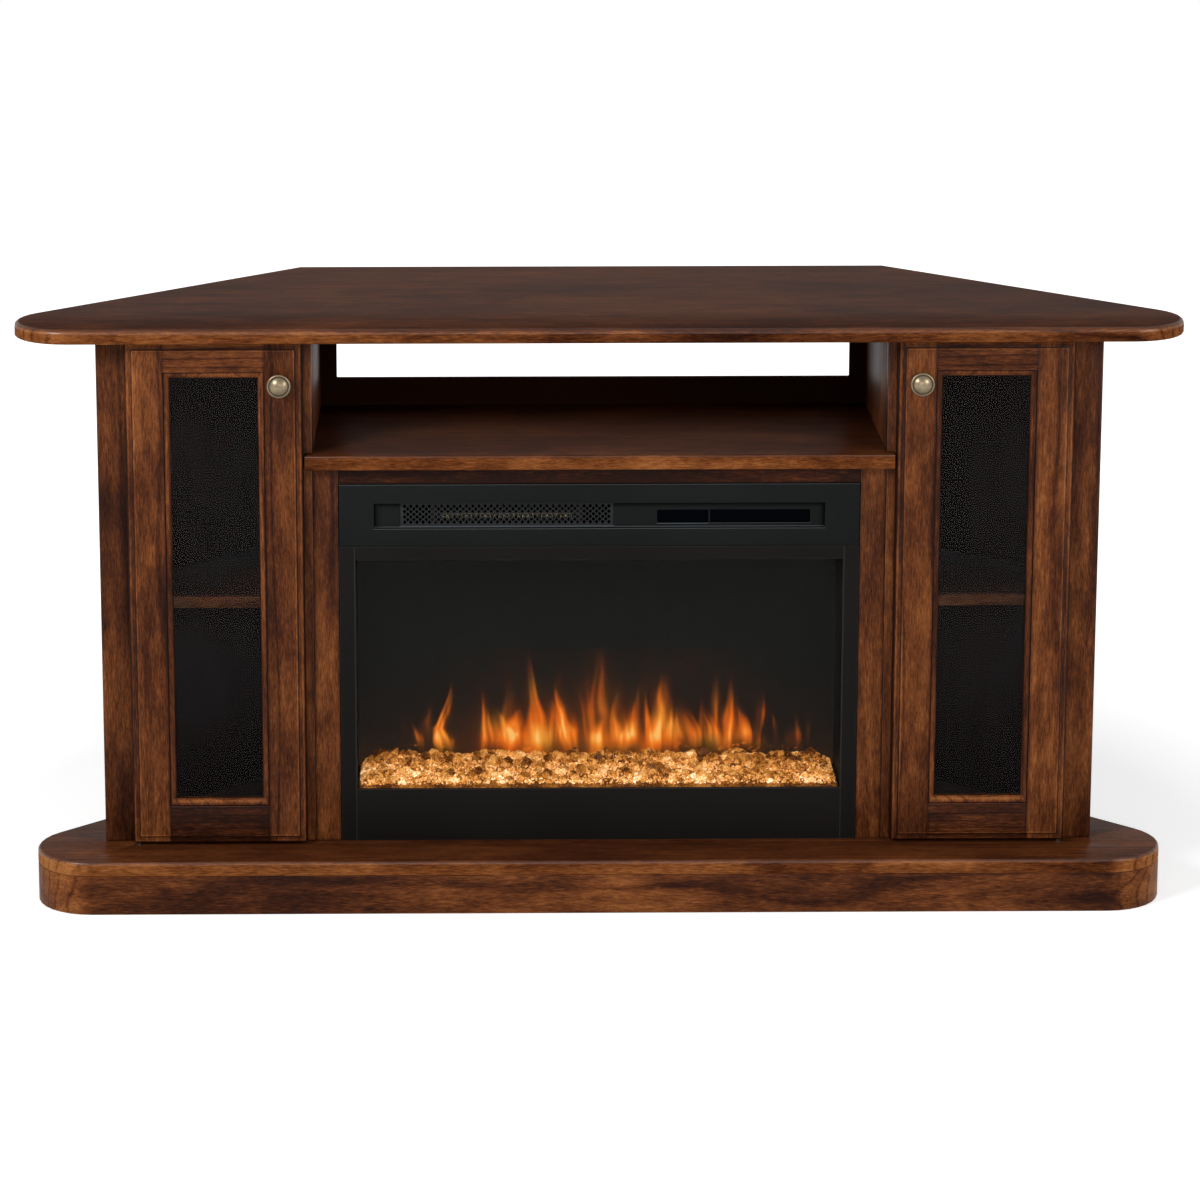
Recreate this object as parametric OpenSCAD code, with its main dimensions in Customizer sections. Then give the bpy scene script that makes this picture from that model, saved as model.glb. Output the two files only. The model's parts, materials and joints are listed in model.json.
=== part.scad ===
// Corner media console with an electric fireplace insert.
// Two glazed towers stand on a raised hearth, on either side of an open media bay and a
// fireplace insert, under one top board. The rear edges run at 45 degrees to the front, so
// the piece fits into a square room corner.
// Millimetres. X is to the right, Y is towards the wall, Z is up. The origin is on the floor,
// at the centre of the overall box.

/* [Overall] */
// Width of the top board over its rounded ends
overall_w = 1500; // [1440:5:1600]
// Depth from the front of the base to the back edge of the top board
overall_d = 490; // [470:5:560]
// Height from the floor to the top surface
overall_h = 763; // [745:1:800]

/* [Top board] */
// Thickness of the top board
top_t = 19; // [16:1:28]
// Radius of the rounded ends, seen from above
top_end_r = 73; // [55:1:90]
// Radius of the rolled upper edge
top_edge_r = 6; // [3:0.5:8]
// Radius of the eased lower edge
top_lower_r = 3; // [1:0.5:5]
// How far the top's front edge lies behind the front of the base
top_setback = 38; // [20:1:60]

/* [Base] */
// Height of the hearth surface above the floor
base_h = 71; // [60:1:90]
// Thickness of the hearth board
hearth_t = 19; // [16:1:25]
// Radius of the rounded ends of the base, seen from above
base_end_r = 75; // [55:1:90]
// Radius of the eased upper edge of the hearth board
hearth_edge_r = 4; // [2:0.5:6]
// Thickness of the bent apron
apron_t = 18; // [12:1:22]
// Thickness of the bearers under the hearth board
bearer_t = 18; // [12:1:25]
// Distance of the base's wall edges inside the top's wall edges
wall_gap = 37; // [20:1:50]

/* [Carcass] */
// How far the top board stands out past the cabinet at each end
end_overhang = 104.5; // [92:0.5:115]
// Width of the surround's stiles beside the insert
surround_stile_w = 32.7; // [26:0.1:40]
// Thickness of the upright panels
panel_t = 18; // [15:1:22]
// Distance of the face frames behind the top's front edge
face_setback = 50; // [42:1:65]
// Thickness of the face frames
frame_t = 19; // [16:1:24]
// Width of each outer stile
outer_stile_w = 50; // [44:1:60]
// Width of each inner stile
inner_stile_w = 30; // [22:1:36]
// Height of the top and bottom rails of each face frame
frame_rail_h = 36; // [25:1:45]
// Thickness of the back panels
back_t = 12; // [9:1:16]
// Distance of the back panel's front face inside the top's back edge
back_setback = 112; // [100:1:130]
// Distance of the corner backs inside the wall edges of the base
corner_inset = 8; // [4:1:14]

/* [Media bay] */
// Height of the surround's rail between the insert and the media shelf
surround_rail_h = 22.7; // [14:0.1:36]
// Thickness of the media shelf
media_shelf_t = 19; // [16:1:22]
// How far the shelf's nose stands in front of the face frames
shelf_nose = 20.5; // [12:0.5:22]
// Length of the ears at the ends of the nose
shelf_ear = 9.2; // [4:0.2:9.4]
// Radius of the shelf's eased front edges
shelf_edge_r = 2; // [1:0.5:4]
// Height of the back rail above the shelf
back_rail_h = 36.5; // [25:0.5:50]
// Width of the back posts beside the cable opening
back_post_w = 22; // [15:1:35]
// Height of the strip above the cable opening
back_head_h = 40; // [30:1:55]
// Width of the service opening behind the insert
service_w = 600; // [500:5:640]
// Distance of the service opening below the media shelf
service_head_h = 44; // [30:1:80]
// Height of the sill under the service opening
service_sill_h = 28; // [15:1:40]

/* [Tower shelves] */
// Height of the tower shelves' upper surface
tower_shelf_h = 399; // [330:1:460]
// Thickness of the tower shelves
tower_shelf_t = 18; // [15:1:22]
// Clearance around each tower shelf
shelf_clear = 0.5; // [0.3:0.1:1]
// Diameter of the shelf pins
shelf_pin_d = 5; // [4:0.5:6]
// Length of the part of a pin that stands out under the shelf
shelf_pin_out = 8; // [6:1:11]
// Depth of a pin hole
pin_hole_depth = 9; // [7:1:11]
// Spacing of the pin holes
pin_pitch = 32; // [25:1:40]
// Number of spare pin holes above and below the shelf
spare_holes = 2; // [1:1:3]

/* [Doors] */
// Width of the outer stile that is seen beside the door
door_outer_reveal = 38.5; // [36:0.5:42]
// Thickness of a door
door_t = 22; // [20:0.5:24]
// Gap between the door's back and the face frame
door_back_gap = 2; // [1.5:0.1:3]
// Distance from the bay's side to the door's inner edge
door_reveal = 11; // [10:0.5:14]
// Gap under the door
door_bottom_gap = 4.5; // [3:0.5:8]
// Gap over the door
door_top_gap = 3; // [2:0.5:6]
// Width of the door stiles
door_stile_w = 48.5; // [44:0.5:54]
// Height of the door's bottom rail
door_bottom_rail = 50; // [40:1:65]
// Height of the door's top rail
door_top_rail = 38; // [34:1:50]
// Width of the rounded edge round the door's front
door_round_w = 8.5; // [4:0.5:11]
// Depth of the rounded edge round the door's front
door_round_d = 5; // [3:0.5:8]
// Step from the door's face down to the rounded edge
door_step = 1; // [0.5:0.1:1.5]
// Width of the glazing bead
bead_w = 9; // [6:0.5:12]
// Depth from the door's front to the glass
glass_depth = 8; // [6:0.5:10]
// Thickness of the door glass
glass_t = 4; // [3:0.5:5]
// How far the glass runs in behind the bead
glass_lap = 5; // [3:0.5:5.5]

/* [Knobs] */
// Diameter of a knob
knob_d = 31; // [26:1:36]
// How far a knob stands out from the door
knob_proj = 23; // [20:1:28]
// Distance of the knob's centre from the door's inner edge
knob_inset = 29; // [22:1:31]
// Distance of the knob's centre below the top of the door
knob_drop = 53; // [40:1:80]
// Diameter of the knob's neck
knob_neck_d = 11; // [8:1:14]

/* [Door pivots] */
// Diameter of the pivot pins
pivot_d = 6; // [5:0.5:7]
// Distance of the pivot axis from the door's outer edge
pivot_inset = 6; // [5:0.5:6.5]
// Length of pin inside the door
pivot_in_door = 20; // [14:1:26]
// Depth of a pivot bush in its board
bush_depth = 10; // [8:1:12]
// Wall of a pivot bush
bush_wall = 2; // [1.5:0.5:3]
// Running clearance of a pin in its bush
pivot_clear = 0.05; // [0.02:0.01:0.09]

/* [Insert] */
// Width of the insert's front
insert_w = 672; // [664:1:690]
// Height of the insert's front
insert_h = 478.5; // [474:0.5:486]
// Depth of the insert
insert_d = 215; // [200:1:235]
// How far the insert's front stands in front of the surround
insert_proud = 1; // [0.5:0.5:4]
// Gap between the insert and the surround
insert_gap = 0.8; // [0.4:0.1:1.5]
// Thickness of the insert's sheet metal
sheet_t = 1.6; // [1:0.1:2]
// Height of the fascia
fascia_h = 82; // [78:1:90]
// Depth of the folded edges of the fascia
fold_d = 14; // [10:1:20]
// Distance of the slot from the ends of the fascia
slot_margin = 45; // [36:1:56]
// Height of the slot in the fascia
slot_h = 33.5; // [30:0.5:38]
// Distance of the slot below the top of the fascia
slot_drop = 25; // [18:1:30]
// Depth of the recess behind the slot
slot_recess = 8; // [5:0.5:12]
// Distance of the heater grille's opening from the slot's left end
mesh_inset = 33.5; // [25:0.5:45]
// Width of the blank panel between the grille and the display windows
blank_w = 56.6; // [45:0.1:70]
// Spacing of the grille's holes along a row
mesh_pitch = 8; // [7.8:0.2:14]
// Spacing of the grille's rows
mesh_row = 3.5; // [3:0.1:3.9]
// Width of metal between the grille's holes
mesh_web = 1.3; // [0.9:0.1:1.8]
// Width of the small display window
small_window_w = 66; // [50:1:75]
// Width of the large display window
large_window_w = 129; // [100:1:132]
// Height of the display windows
window_h = 17.7; // [12:0.1:22]
// Width of the bar between the display windows
window_bar = 2.4; // [1.5:0.1:5]
// Distance of the large window from the slot's right end
window_inset = 18.5; // [12:0.5:25]

/* [Fire opening] */
// Width of the uprights beside the fire opening
upright_w = 20.5; // [19:0.5:30]
// Height of the bar over the fire opening
head_bar_h = 18; // [9:0.5:30]
// Height of the bar under the fire opening
fire_sill = 69.5; // [62:0.5:78]
// Width of the seam beside each upright of the front frame
seam_w = 0.6; // [0.4:0.1:1]
// Thickness of the front glass
front_glass_t = 4; // [3:0.5:5]
// How far the front glass runs in behind the frame
front_glass_lap = 7; // [4:0.5:8]
// Distance of the flame screen behind the insert's front
screen_setback = 110; // [95:1:125]
// Thickness of the flame screen
screen_t = 3; // [2:0.5:4]

/* [Ember bed] */
// Depth of the ember tray below the sill
tray_depth = 14; // [8:1:20]
// Thickness of the ember tray
tray_t = 2; // [1.5:0.5:3]
// Height of the ember bed's front edge above the sill
bed_front_h = 2; // [0:0.5:6]
// Height of the ember bed's crest above the sill
bed_crest_h = 15; // [8:0.5:22]
// Length of the slopes at the bed's ends
bed_slope = 24; // [12:1:40]

/* [Flame mechanism] */
// Diameter of the flicker rod
rod_d = 8; // [6:0.5:10]
// Length of a flicker reflector along the rod
tab_l = 34; // [25:1:40]
// Radius reached by the flicker reflectors
tab_reach = 24; // [18:1:26]
// Number of flicker reflectors
tab_count = 14; // [6:1:14]
// Height of the flicker rod above the insert's floor
rod_h = 62; // [50:1:80]
// Distance of the flicker rod behind the flame screen
rod_behind = 40; // [34:1:46]
// Length of the flicker rod's bearing journals
journal_l = 12; // [8:1:14]
// Diameter of the flicker motor
flicker_motor_d = 50; // [40:1:56]
// Thickness of the flicker motor
flicker_motor_t = 14; // [10:1:15]
// Number of lamps on the light bar
led_count = 12; // [6:1:20]
// Width of the light bar
led_bar_w = 16; // [12:1:22]

/* [Heater and blower] */
// Distance of the heater's ends from the ends of the grille's opening
heater_inset = 46; // [40:1:60]
// Height of one row of heater fins
fin_row_h = 12; // [9:0.5:13]
// Spacing of the heater fins
fin_pitch = 6; // [5:0.5:10]
// Depth of the heater element
heater_d = 12; // [8:1:14]
// Distance of the blower's axis behind the insert's front
blower_behind = 78; // [74:1:90]
// Radius of the blower wheel
wheel_r = 26; // [22:1:28]
// Number of blades on the blower wheel
blade_count = 24; // [16:1:30]
// Diameter of the blower's shaft
shaft_d = 6; // [5:0.5:8]
// Diameter of the blower motor
blower_motor_d = 46; // [36:1:50]
// Length of the blower motor
blower_motor_l = 34; // [25:1:40]
// Running clearance of the shafts in their bearings
run_clear = 0.05; // [0.02:0.01:0.09]

/* [Hidden] */
$fn = 48;

wood = [0.36, 0.20, 0.13];
dark_wood = [0.26, 0.15, 0.10];
black_steel = [0.12, 0.13, 0.13];
galvanised = [0.62, 0.64, 0.66];
pewter = [0.60, 0.57, 0.52];
dark_glass = [0.10, 0.11, 0.13, 0.6];

// Planes from front to back
front_y = -overall_d / 2;
back_y = overall_d / 2;
top_front_y = front_y + top_setback;
face_y = top_front_y + face_setback;
frame_back_y = face_y + frame_t;
back_panel_y = back_y - back_setback;
back_rear_y = back_panel_y + back_t;
base_back_y = back_y - wall_gap;
door_y = face_y - door_back_gap - door_t;
insert_y = face_y - insert_proud;
insert_back_y = insert_y + insert_d;
shelf_front_y = face_y - shelf_nose;

// Heights
top_under = overall_h - top_t;
hearth_under = base_h - hearth_t;
door_z0 = base_h + door_bottom_gap;
door_z1 = top_under - door_top_gap;
door_h = door_z1 - door_z0;
insert_top = base_h + insert_h;
shelf_under = insert_top + insert_gap + surround_rail_h;
media_shelf_h = shelf_under + media_shelf_t;
fascia_z0 = insert_top - fascia_h;
slot_z1 = insert_top - slot_drop;
slot_z0 = slot_z1 - slot_h;
fire_z0 = base_h + fire_sill;
fire_z1 = fascia_z0 - head_bar_h;

// Places across the width
surround_x = insert_w / 2 + insert_gap;
bay_x = surround_x + surround_stile_w;
panel_x = bay_x + panel_t;
cab_x = overall_w / 2 - end_overhang;
side_x = cab_x - panel_t;
door_x0 = bay_x + door_reveal;
door_x1 = cab_x - door_outer_reveal;
door_w = door_x1 - door_x0;

// A wall edge is the line x + y = constant. These are the constants of the parallel edges.
root2 = sqrt(2);
top_wall = overall_w / 2 - top_end_r + top_front_y + top_end_r + top_end_r * root2;
base_wall = top_wall - wall_gap * root2;
corner_wall = base_wall - corner_inset * root2;
corner_inner = corner_wall - back_t * root2;
base_half_w = base_wall - front_y - base_end_r * root2;

// Insert
casing_x = insert_w / 2 - 8;
casing_in_x = casing_x - sheet_t;
casing_top = insert_top - 4;
glass_back_y = insert_y + sheet_t + front_glass_t;
screen_y = insert_y + screen_setback;
deck_z = fire_z0 - tray_depth;
ceiling_z = fire_z1 + 3;
slot_back_y = insert_y + sheet_t + slot_recess;
slot_w = insert_w - 2 * slot_margin;
fire_w = insert_w - 2 * upright_w;
mesh_x0 = -slot_w / 2 + mesh_inset;
window_x1 = slot_w / 2 - window_inset;
large_window_x0 = window_x1 - large_window_w;
small_window_x0 = large_window_x0 - window_bar - small_window_w;
mesh_w = small_window_x0 - blank_w - mesh_x0;
window_z0 = slot_z0 + 4.5;
heater_x0 = mesh_x0 + heater_inset;
heater_x1 = mesh_x0 + mesh_w - heater_inset;
heater_l = heater_x1 - heater_x0;
rod_y = screen_y + screen_t + rod_behind;
rod_z = base_h + rod_h;
rod_half = casing_in_x - 26;
wheel_y = insert_y + blower_behind;
wheel_z = (slot_z0 + slot_z1) / 2 - 6;
end_gap = 5;

// Box between two corners
module block(low, high) {
    translate(low) cube(high - low);
}

// Right-hand piece, or its mirror image on the left
module on_side(s) {
    if (s > 0) children();
    else mirror([1, 0, 0]) children();
}

// Points of a board's outline seen from above, drawn in by d, at height z
end_steps = 12;
function plan_ring(half_w, y_front, y_back, r, d, z) =
    let (cx = half_w - r, cy = y_front + r, q = r - d, side = cx + cy + q * root2 - y_back + d)
    concat(
        [for (i = [0 : end_steps]) let (a = -90 + 135 * i / end_steps)
            [cx + q * cos(a), cy + q * sin(a), z]],
        [[side, y_back - d, z], [-side, y_back - d, z]],
        [for (i = [0 : end_steps]) let (a = 135 + 135 * i / end_steps)
            [-cx + q * cos(a), cy + q * sin(a), z]]
    );

// Solid through a stack of rings that have the same number of points
module loft(rings) {
    n = len(rings[0]);
    last = len(rings) - 1;
    sides = [for (j = [0 : last - 1]) for (i = [0 : n - 1])
        let (k = (i + 1) % n) [j * n + i, (j + 1) * n + i, (j + 1) * n + k, j * n + k]];
    polyhedron(
        points = [for (ring = rings) for (p = ring) p],
        faces = concat([[for (i = [0 : n - 1]) i]], sides,
                       [[for (i = [n - 1 : -1 : 0]) last * n + i]])
    );
}

// Board outline as a plain 2D shape, drawn in by d
module plan_shape(half_w, y_front, y_back, r, d) {
    polygon([for (p = plan_ring(half_w, y_front, y_back, r, d, 0)) [p[0], p[1]]]);
}

// Everything in front of two wall edges that meet at (0, c)
module before_walls(c) {
    far = overall_w + overall_d;
    linear_extrude(overall_h) polygon([[0, c], [-far, c - far], [far, c - far]]);
}

// ---- Boards and base ----

roll_steps = 4;
function rolled_upper(t, r) = [for (i = [0 : roll_steps]) let (a = 90 * i / roll_steps)
    [r * (1 - cos(a)), t - r + r * sin(a)]];
function rolled_lower(r) = [for (i = [0 : roll_steps]) let (a = 90 * i / roll_steps)
    [r * (1 - sin(a)), r * (1 - cos(a))]];

// Blind holes for the door pivots, cut from height z
module pivot_holes(z) {
    for (s = [-1, 1])
        translate([s * pivot_x, pivot_y, z]) cylinder(d = pivot_d + 2 * bush_wall, h = bush_depth);
}

module top_board() {
    levels = concat(rolled_lower(top_lower_r), rolled_upper(top_t, top_edge_r));
    color(wood) difference() {
        loft([for (v = levels)
            plan_ring(overall_w / 2, top_front_y, back_y, top_end_r, v[0], top_under + v[1])]);
        pivot_holes(top_under);
    }
}

module hearth_board() {
    levels = concat([[0, 0]], rolled_upper(hearth_t, hearth_edge_r));
    color(wood) difference() {
        loft([for (v = levels)
            plan_ring(base_half_w, front_y, base_back_y, base_end_r, v[0], hearth_under + v[1])]);
        pivot_holes(base_h - bush_depth);
    }
}

// The apron is bent from the front round both ends and stops at the back bearer
module base_apron() {
    color(wood) difference() {
        linear_extrude(hearth_under) plan_shape(base_half_w, front_y, base_back_y, base_end_r, 0);
        translate([0, 0, -1]) linear_extrude(hearth_under + 2)
            plan_shape(base_half_w, front_y, base_back_y + apron_t, base_end_r, apron_t);
        block([-overall_w, base_back_y - bearer_t, -1],
              [overall_w, base_back_y + 1, hearth_under + 1]);
    }
}

// Ladder frame: the side rails stand where the back bearer meets the apron
module base_bearers() {
    rail_x = base_wall - apron_t * root2 - base_back_y + bearer_t;
    rail_y = front_y + apron_t;
    color(dark_wood) {
        intersection() {
            linear_extrude(hearth_under)
                plan_shape(base_half_w, front_y, base_back_y, base_end_r, 0);
            block([-overall_w, base_back_y - bearer_t, 0],
                  [overall_w, base_back_y, hearth_under]);
        }
        for (x = [-rail_x, -bearer_t / 2, rail_x - bearer_t])
            block([x, rail_y, 0], [x + bearer_t, base_back_y - bearer_t, hearth_under]);
        block([-rail_x, rail_y, 0], [rail_x, rail_y + bearer_t, hearth_under]);
    }
}

// ---- Carcass ----

pin_inset = 22;
pin_rear_inset = 60;
pin_front_y = frame_back_y + pin_inset;
pin_outer_y = corner_inner - side_x - pin_inset;
pin_rear_y = back_panel_y - pin_rear_inset;
pin_z = tower_shelf_h - tower_shelf_t - shelf_pin_d / 2;

// Column of blind pin holes, opening towards +X from x
module pin_holes(x, y) {
    for (i = [-spare_holes : spare_holes])
        translate([x, y, pin_z + i * pin_pitch]) rotate([0, 90, 0])
            cylinder(d = shelf_pin_d, h = pin_hole_depth);
}

module inner_panel(s) {
    color(wood) on_side(s) difference() {
        intersection() {
            block([bay_x, frame_back_y, base_h], [panel_x, back_panel_y, top_under]);
            before_walls(corner_inner);
        }
        pin_holes(panel_x - pin_hole_depth, pin_front_y);
        pin_holes(panel_x - pin_hole_depth, pin_rear_y);
    }
}

// The rear end of the outer panel is cut at 45 degrees for the corner back
module outer_panel(s) {
    color(wood) on_side(s) difference() {
        translate([0, 0, base_h]) linear_extrude(top_under - base_h) polygon([
            [side_x, frame_back_y], [cab_x, frame_back_y],
            [cab_x, corner_inner - cab_x], [side_x, corner_inner - side_x]
        ]);
        pin_holes(side_x, pin_front_y);
        pin_holes(side_x, pin_outer_y);
    }
}

module corner_back(s) {
    color(dark_wood) on_side(s) translate([0, 0, base_h])
        linear_extrude(top_under - base_h) polygon([
            [cab_x, corner_inner - cab_x], [cab_x, corner_wall - cab_x],
            [corner_wall - back_rear_y, back_rear_y], [corner_inner - back_rear_y, back_rear_y]
        ]);
}

module back_panel() {
    end_front = corner_inner - back_panel_y;
    end_rear = corner_inner - back_rear_y;
    color(wood) difference() {
        translate([0, 0, base_h]) linear_extrude(top_under - base_h) polygon([
            [-end_front, back_panel_y], [end_front, back_panel_y],
            [end_rear, back_rear_y], [-end_rear, back_rear_y]
        ]);
        block([-bay_x + back_post_w, back_panel_y - 1, media_shelf_h + back_rail_h],
              [bay_x - back_post_w, back_rear_y + 1, top_under - back_head_h]);
        block([-service_w / 2, back_panel_y - 1, base_h + service_sill_h],
              [service_w / 2, back_rear_y + 1, shelf_under - service_head_h]);
    }
}

// ---- Face frames ----

module outer_stile(s) {
    color(wood) on_side(s)
        block([cab_x - outer_stile_w, face_y, base_h], [cab_x, frame_back_y, top_under]);
}

module inner_stile(s) {
    color(wood) on_side(s)
        block([bay_x, face_y, base_h], [bay_x + inner_stile_w, frame_back_y, top_under]);
}

module face_rails() {
    color(wood) for (s = [-1, 1]) on_side(s)
        for (z = [base_h, top_under - frame_rail_h])
            block([bay_x + inner_stile_w, face_y, z],
                  [cab_x - outer_stile_w, frame_back_y, z + frame_rail_h]);
}

// ---- Tower shelves ----

module tower_shelf(s) {
    x0 = panel_x + shelf_clear;
    x1 = side_x - shelf_clear;
    y0 = frame_back_y + 2 * shelf_clear;
    y1 = back_panel_y - shelf_clear;
    z0 = tower_shelf_h - tower_shelf_t;
    color(wood) on_side(s) intersection() {
        block([x0, y0, z0], [x1, y1, tower_shelf_h]);
        before_walls(corner_inner - shelf_clear * root2);
    }
}

// A pin is a peg in its hole with a thin collar against the panel
module shelf_pin() {
    rotate([0, 90, 0]) {
        cylinder(d = shelf_pin_d, h = pin_hole_depth + shelf_pin_out);
        translate([0, 0, pin_hole_depth]) cylinder(d = shelf_pin_d, h = 1);
    }
}

module shelf_pins() {
    color("silver") for (s = [-1, 1]) on_side(s) {
        for (y = [pin_front_y, pin_rear_y])
            translate([panel_x - pin_hole_depth, y, pin_z]) shelf_pin();
        for (y = [pin_front_y, pin_outer_y])
            translate([side_x + pin_hole_depth, y, pin_z]) mirror([1, 0, 0]) shelf_pin();
    }
}

// ---- Media shelf and surround ----

// Side view of a board whose front edges are eased with radius r; the front is at 0
module eased_profile(depth, t, r) {
    translate([r, 0]) square([depth - r, t]);
    translate([0, r]) square([depth, t - 2 * r]);
    for (z = [r, t - r]) translate([r, z]) circle(r);
}

// The shelf fits between the inner panels, and its nose has ears that lap the inner stiles
module media_shelf() {
    depth = back_panel_y - shelf_front_y;
    color(wood) intersection() {
        translate([-bay_x - shelf_ear, shelf_front_y, shelf_under]) rotate([90, 0, 90])
            linear_extrude(2 * (bay_x + shelf_ear))
                eased_profile(depth, media_shelf_t, shelf_edge_r);
        union() {
            block([-bay_x - shelf_ear, shelf_front_y - 1, shelf_under - 1],
                  [bay_x + shelf_ear, face_y, media_shelf_h + 1]);
            block([-bay_x, face_y - 1, shelf_under - 1],
                  [bay_x, back_panel_y + 1, media_shelf_h + 1]);
        }
        before_walls(corner_inner);
    }
}

module surround_stile(s) {
    color(wood) on_side(s)
        block([surround_x, face_y, base_h], [bay_x, frame_back_y, shelf_under]);
}

module surround_top_rail() {
    color(wood) block([-surround_x, face_y, insert_top + insert_gap],
                      [surround_x, frame_back_y, shelf_under]);
}

// ---- Doors ----

// Points of a door's edge moulding, as distance from the edge and depth: a step, then a round
edge_steps = 5;
function moulded_edge() = [
    for (i = [0 : edge_steps]) let (a = 90 * i / edge_steps)
        [door_round_w * (1 - sin(a)), door_round_d - (door_round_d - door_step) * cos(a)]
];

// Section of the slab from low to high, its face at 0 and its back at door_t
module door_section(low, high) {
    edge = moulded_edge();
    back_low = [[low, door_t]];
    back_high = [[high, door_t]];
    low_edge = [for (i = [edge_steps : -1 : 0]) [low + edge[i][0], edge[i][1]]];
    high_edge = [for (i = [0 : edge_steps]) [high - edge[i][0], edge[i][1]]];
    face = [[low + door_round_w, 0], [high - door_round_w, 0]];
    polygon(concat(back_low, low_edge, face, high_edge, back_high));
}

// Full door slab with its moulded edge, as the common part of two extrusions
module door_slab() {
    translate([0, door_y, 0]) intersection() {
        translate([0, 0, door_z0]) linear_extrude(door_h) door_section(door_x0, door_x1);
        translate([door_x0, 0, 0]) rotate([90, 0, 90]) linear_extrude(door_w)
            mirror([1, -1, 0]) door_section(door_z0, door_z1);
    }
}

light_x0 = door_x0 + door_stile_w;
light_x1 = door_x1 - door_stile_w;
light_z0 = door_z0 + door_bottom_rail;
light_z1 = door_z1 - door_top_rail;
knob_x = door_x0 + knob_inset;
knob_z = door_z1 - knob_drop;
pivot_x = door_x1 - pivot_inset;
pivot_y = door_y + door_t / 2;
catch_z = (door_z0 + door_z1) / 2;
catch_h = 46;
knob_screw_d = 4;

module door_hinge_stile(s) {
    color(wood) on_side(s) difference() {
        intersection() {
            door_slab();
            block([light_x1, door_y - 1, door_z0 - 1], [door_x1 + 1, face_y, door_z1 + 1]);
        }
        for (z = [door_z0 - 1, door_z1 - pivot_in_door])
            translate([pivot_x, pivot_y, z]) cylinder(d = pivot_d, h = pivot_in_door + 1);
    }
}

module door_knob_stile(s) {
    color(wood) on_side(s) difference() {
        intersection() {
            door_slab();
            block([door_x0 - 1, door_y - 1, door_z0 - 1], [light_x0, face_y, door_z1 + 1]);
        }
        translate([knob_x, door_y - 1, knob_z]) rotate([-90, 0, 0])
            cylinder(d = knob_screw_d, h = door_t + 2);
    }
}

module door_rails(s) {
    color(wood) on_side(s) intersection() {
        door_slab();
        union() {
            block([light_x0, door_y - 1, door_z0 - 1], [light_x1, face_y, light_z0]);
            block([light_x0, door_y - 1, light_z1], [light_x1, face_y, door_z1 + 1]);
        }
    }
}

// One side of the glazing bead: length l along X, rising from z = 0, both ends mitred.
// The section falls in a quarter round and a flat from the outer edge to the glass.
bead_drop = 1.5;
bead_lip = 1.2;
bead_steps = 6;
module bead_side(l) {
    reach = bead_w - bead_lip;
    fall = glass_depth - bead_drop - bead_lip;
    curve = [for (i = [0 : bead_steps]) let (a = 90 * i / bead_steps)
        [bead_drop + fall * (1 - cos(a)), reach * sin(a)]];
    intersection() {
        translate([-l / 2, 0, 0]) rotate([90, 0, 90]) linear_extrude(l) polygon(concat(
            [[glass_depth, 0]], curve,
            [[glass_depth - bead_lip, bead_w], [glass_depth, bead_w]]
        ));
        rotate([-90, 0, 0]) translate([0, 0, -1]) linear_extrude(glass_depth + 2)
            polygon([[-l / 2, 0], [l / 2, 0], [l / 2 - bead_w, -bead_w], [-l / 2 + bead_w, -bead_w]]);
    }
}

module door_bead(s) {
    w = light_x1 - light_x0;
    h = light_z1 - light_z0;
    stop_w = bead_w - 2;
    color(wood) on_side(s) {
        translate([(light_x0 + light_x1) / 2, door_y, (light_z0 + light_z1) / 2]) {
            for (k = [0, 180]) {
                rotate([0, k, 0]) translate([0, 0, -h / 2]) bead_side(w);
                rotate([0, k + 90, 0]) translate([0, 0, -w / 2]) bead_side(h);
            }
        }
        difference() {
            block([light_x0, door_y + glass_depth + glass_t, light_z0],
                  [light_x1, door_y + door_t, light_z1]);
            block([light_x0 + stop_w, door_y, light_z0 + stop_w],
                  [light_x1 - stop_w, face_y, light_z1 - stop_w]);
        }
    }
}

module door_glass(s) {
    edge = bead_w - glass_lap;
    color(dark_glass) on_side(s)
        block([light_x0 + edge, door_y + glass_depth, light_z0 + edge],
              [light_x1 - edge, door_y + glass_depth + glass_t, light_z1 - edge]);
}

// Turned knob: a foot, a neck and a domed head with a rounded rim; its screw comes through
module door_knob(s) {
    r = knob_d / 2;
    rim = 2;
    dome = 4.5;
    head_z = knob_proj - dome - 2 * rim;
    color(pewter) on_side(s) translate([knob_x, door_y, knob_z]) rotate([90, 0, 0]) {
        cylinder(d = knob_neck_d + 5, h = 2);
        cylinder(d = knob_neck_d, h = head_z + 1);
        translate([0, 0, head_z - 5]) cylinder(d1 = knob_neck_d, d2 = knob_d - 2 * rim, h = 5);
        rotate_extrude() {
            translate([0, head_z]) square([r - rim, 2 * rim]);
            translate([r - rim, head_z + rim]) circle(rim);
        }
        intersection() {
            translate([0, 0, knob_proj - dome_r(dome, r - 2 * rim)])
                sphere(dome_r(dome, r - 2 * rim));
            translate([0, 0, head_z + 2 * rim - 0.2]) cylinder(r = r - 2 * rim, h = dome + 1);
        }
        translate([0, 0, -door_t]) cylinder(d = knob_screw_d, h = door_t);
    }
}

// Radius of a sphere whose cap of height h has radius r
function dome_r(h, r) = (r * r + h * h) / (2 * h);

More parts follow.
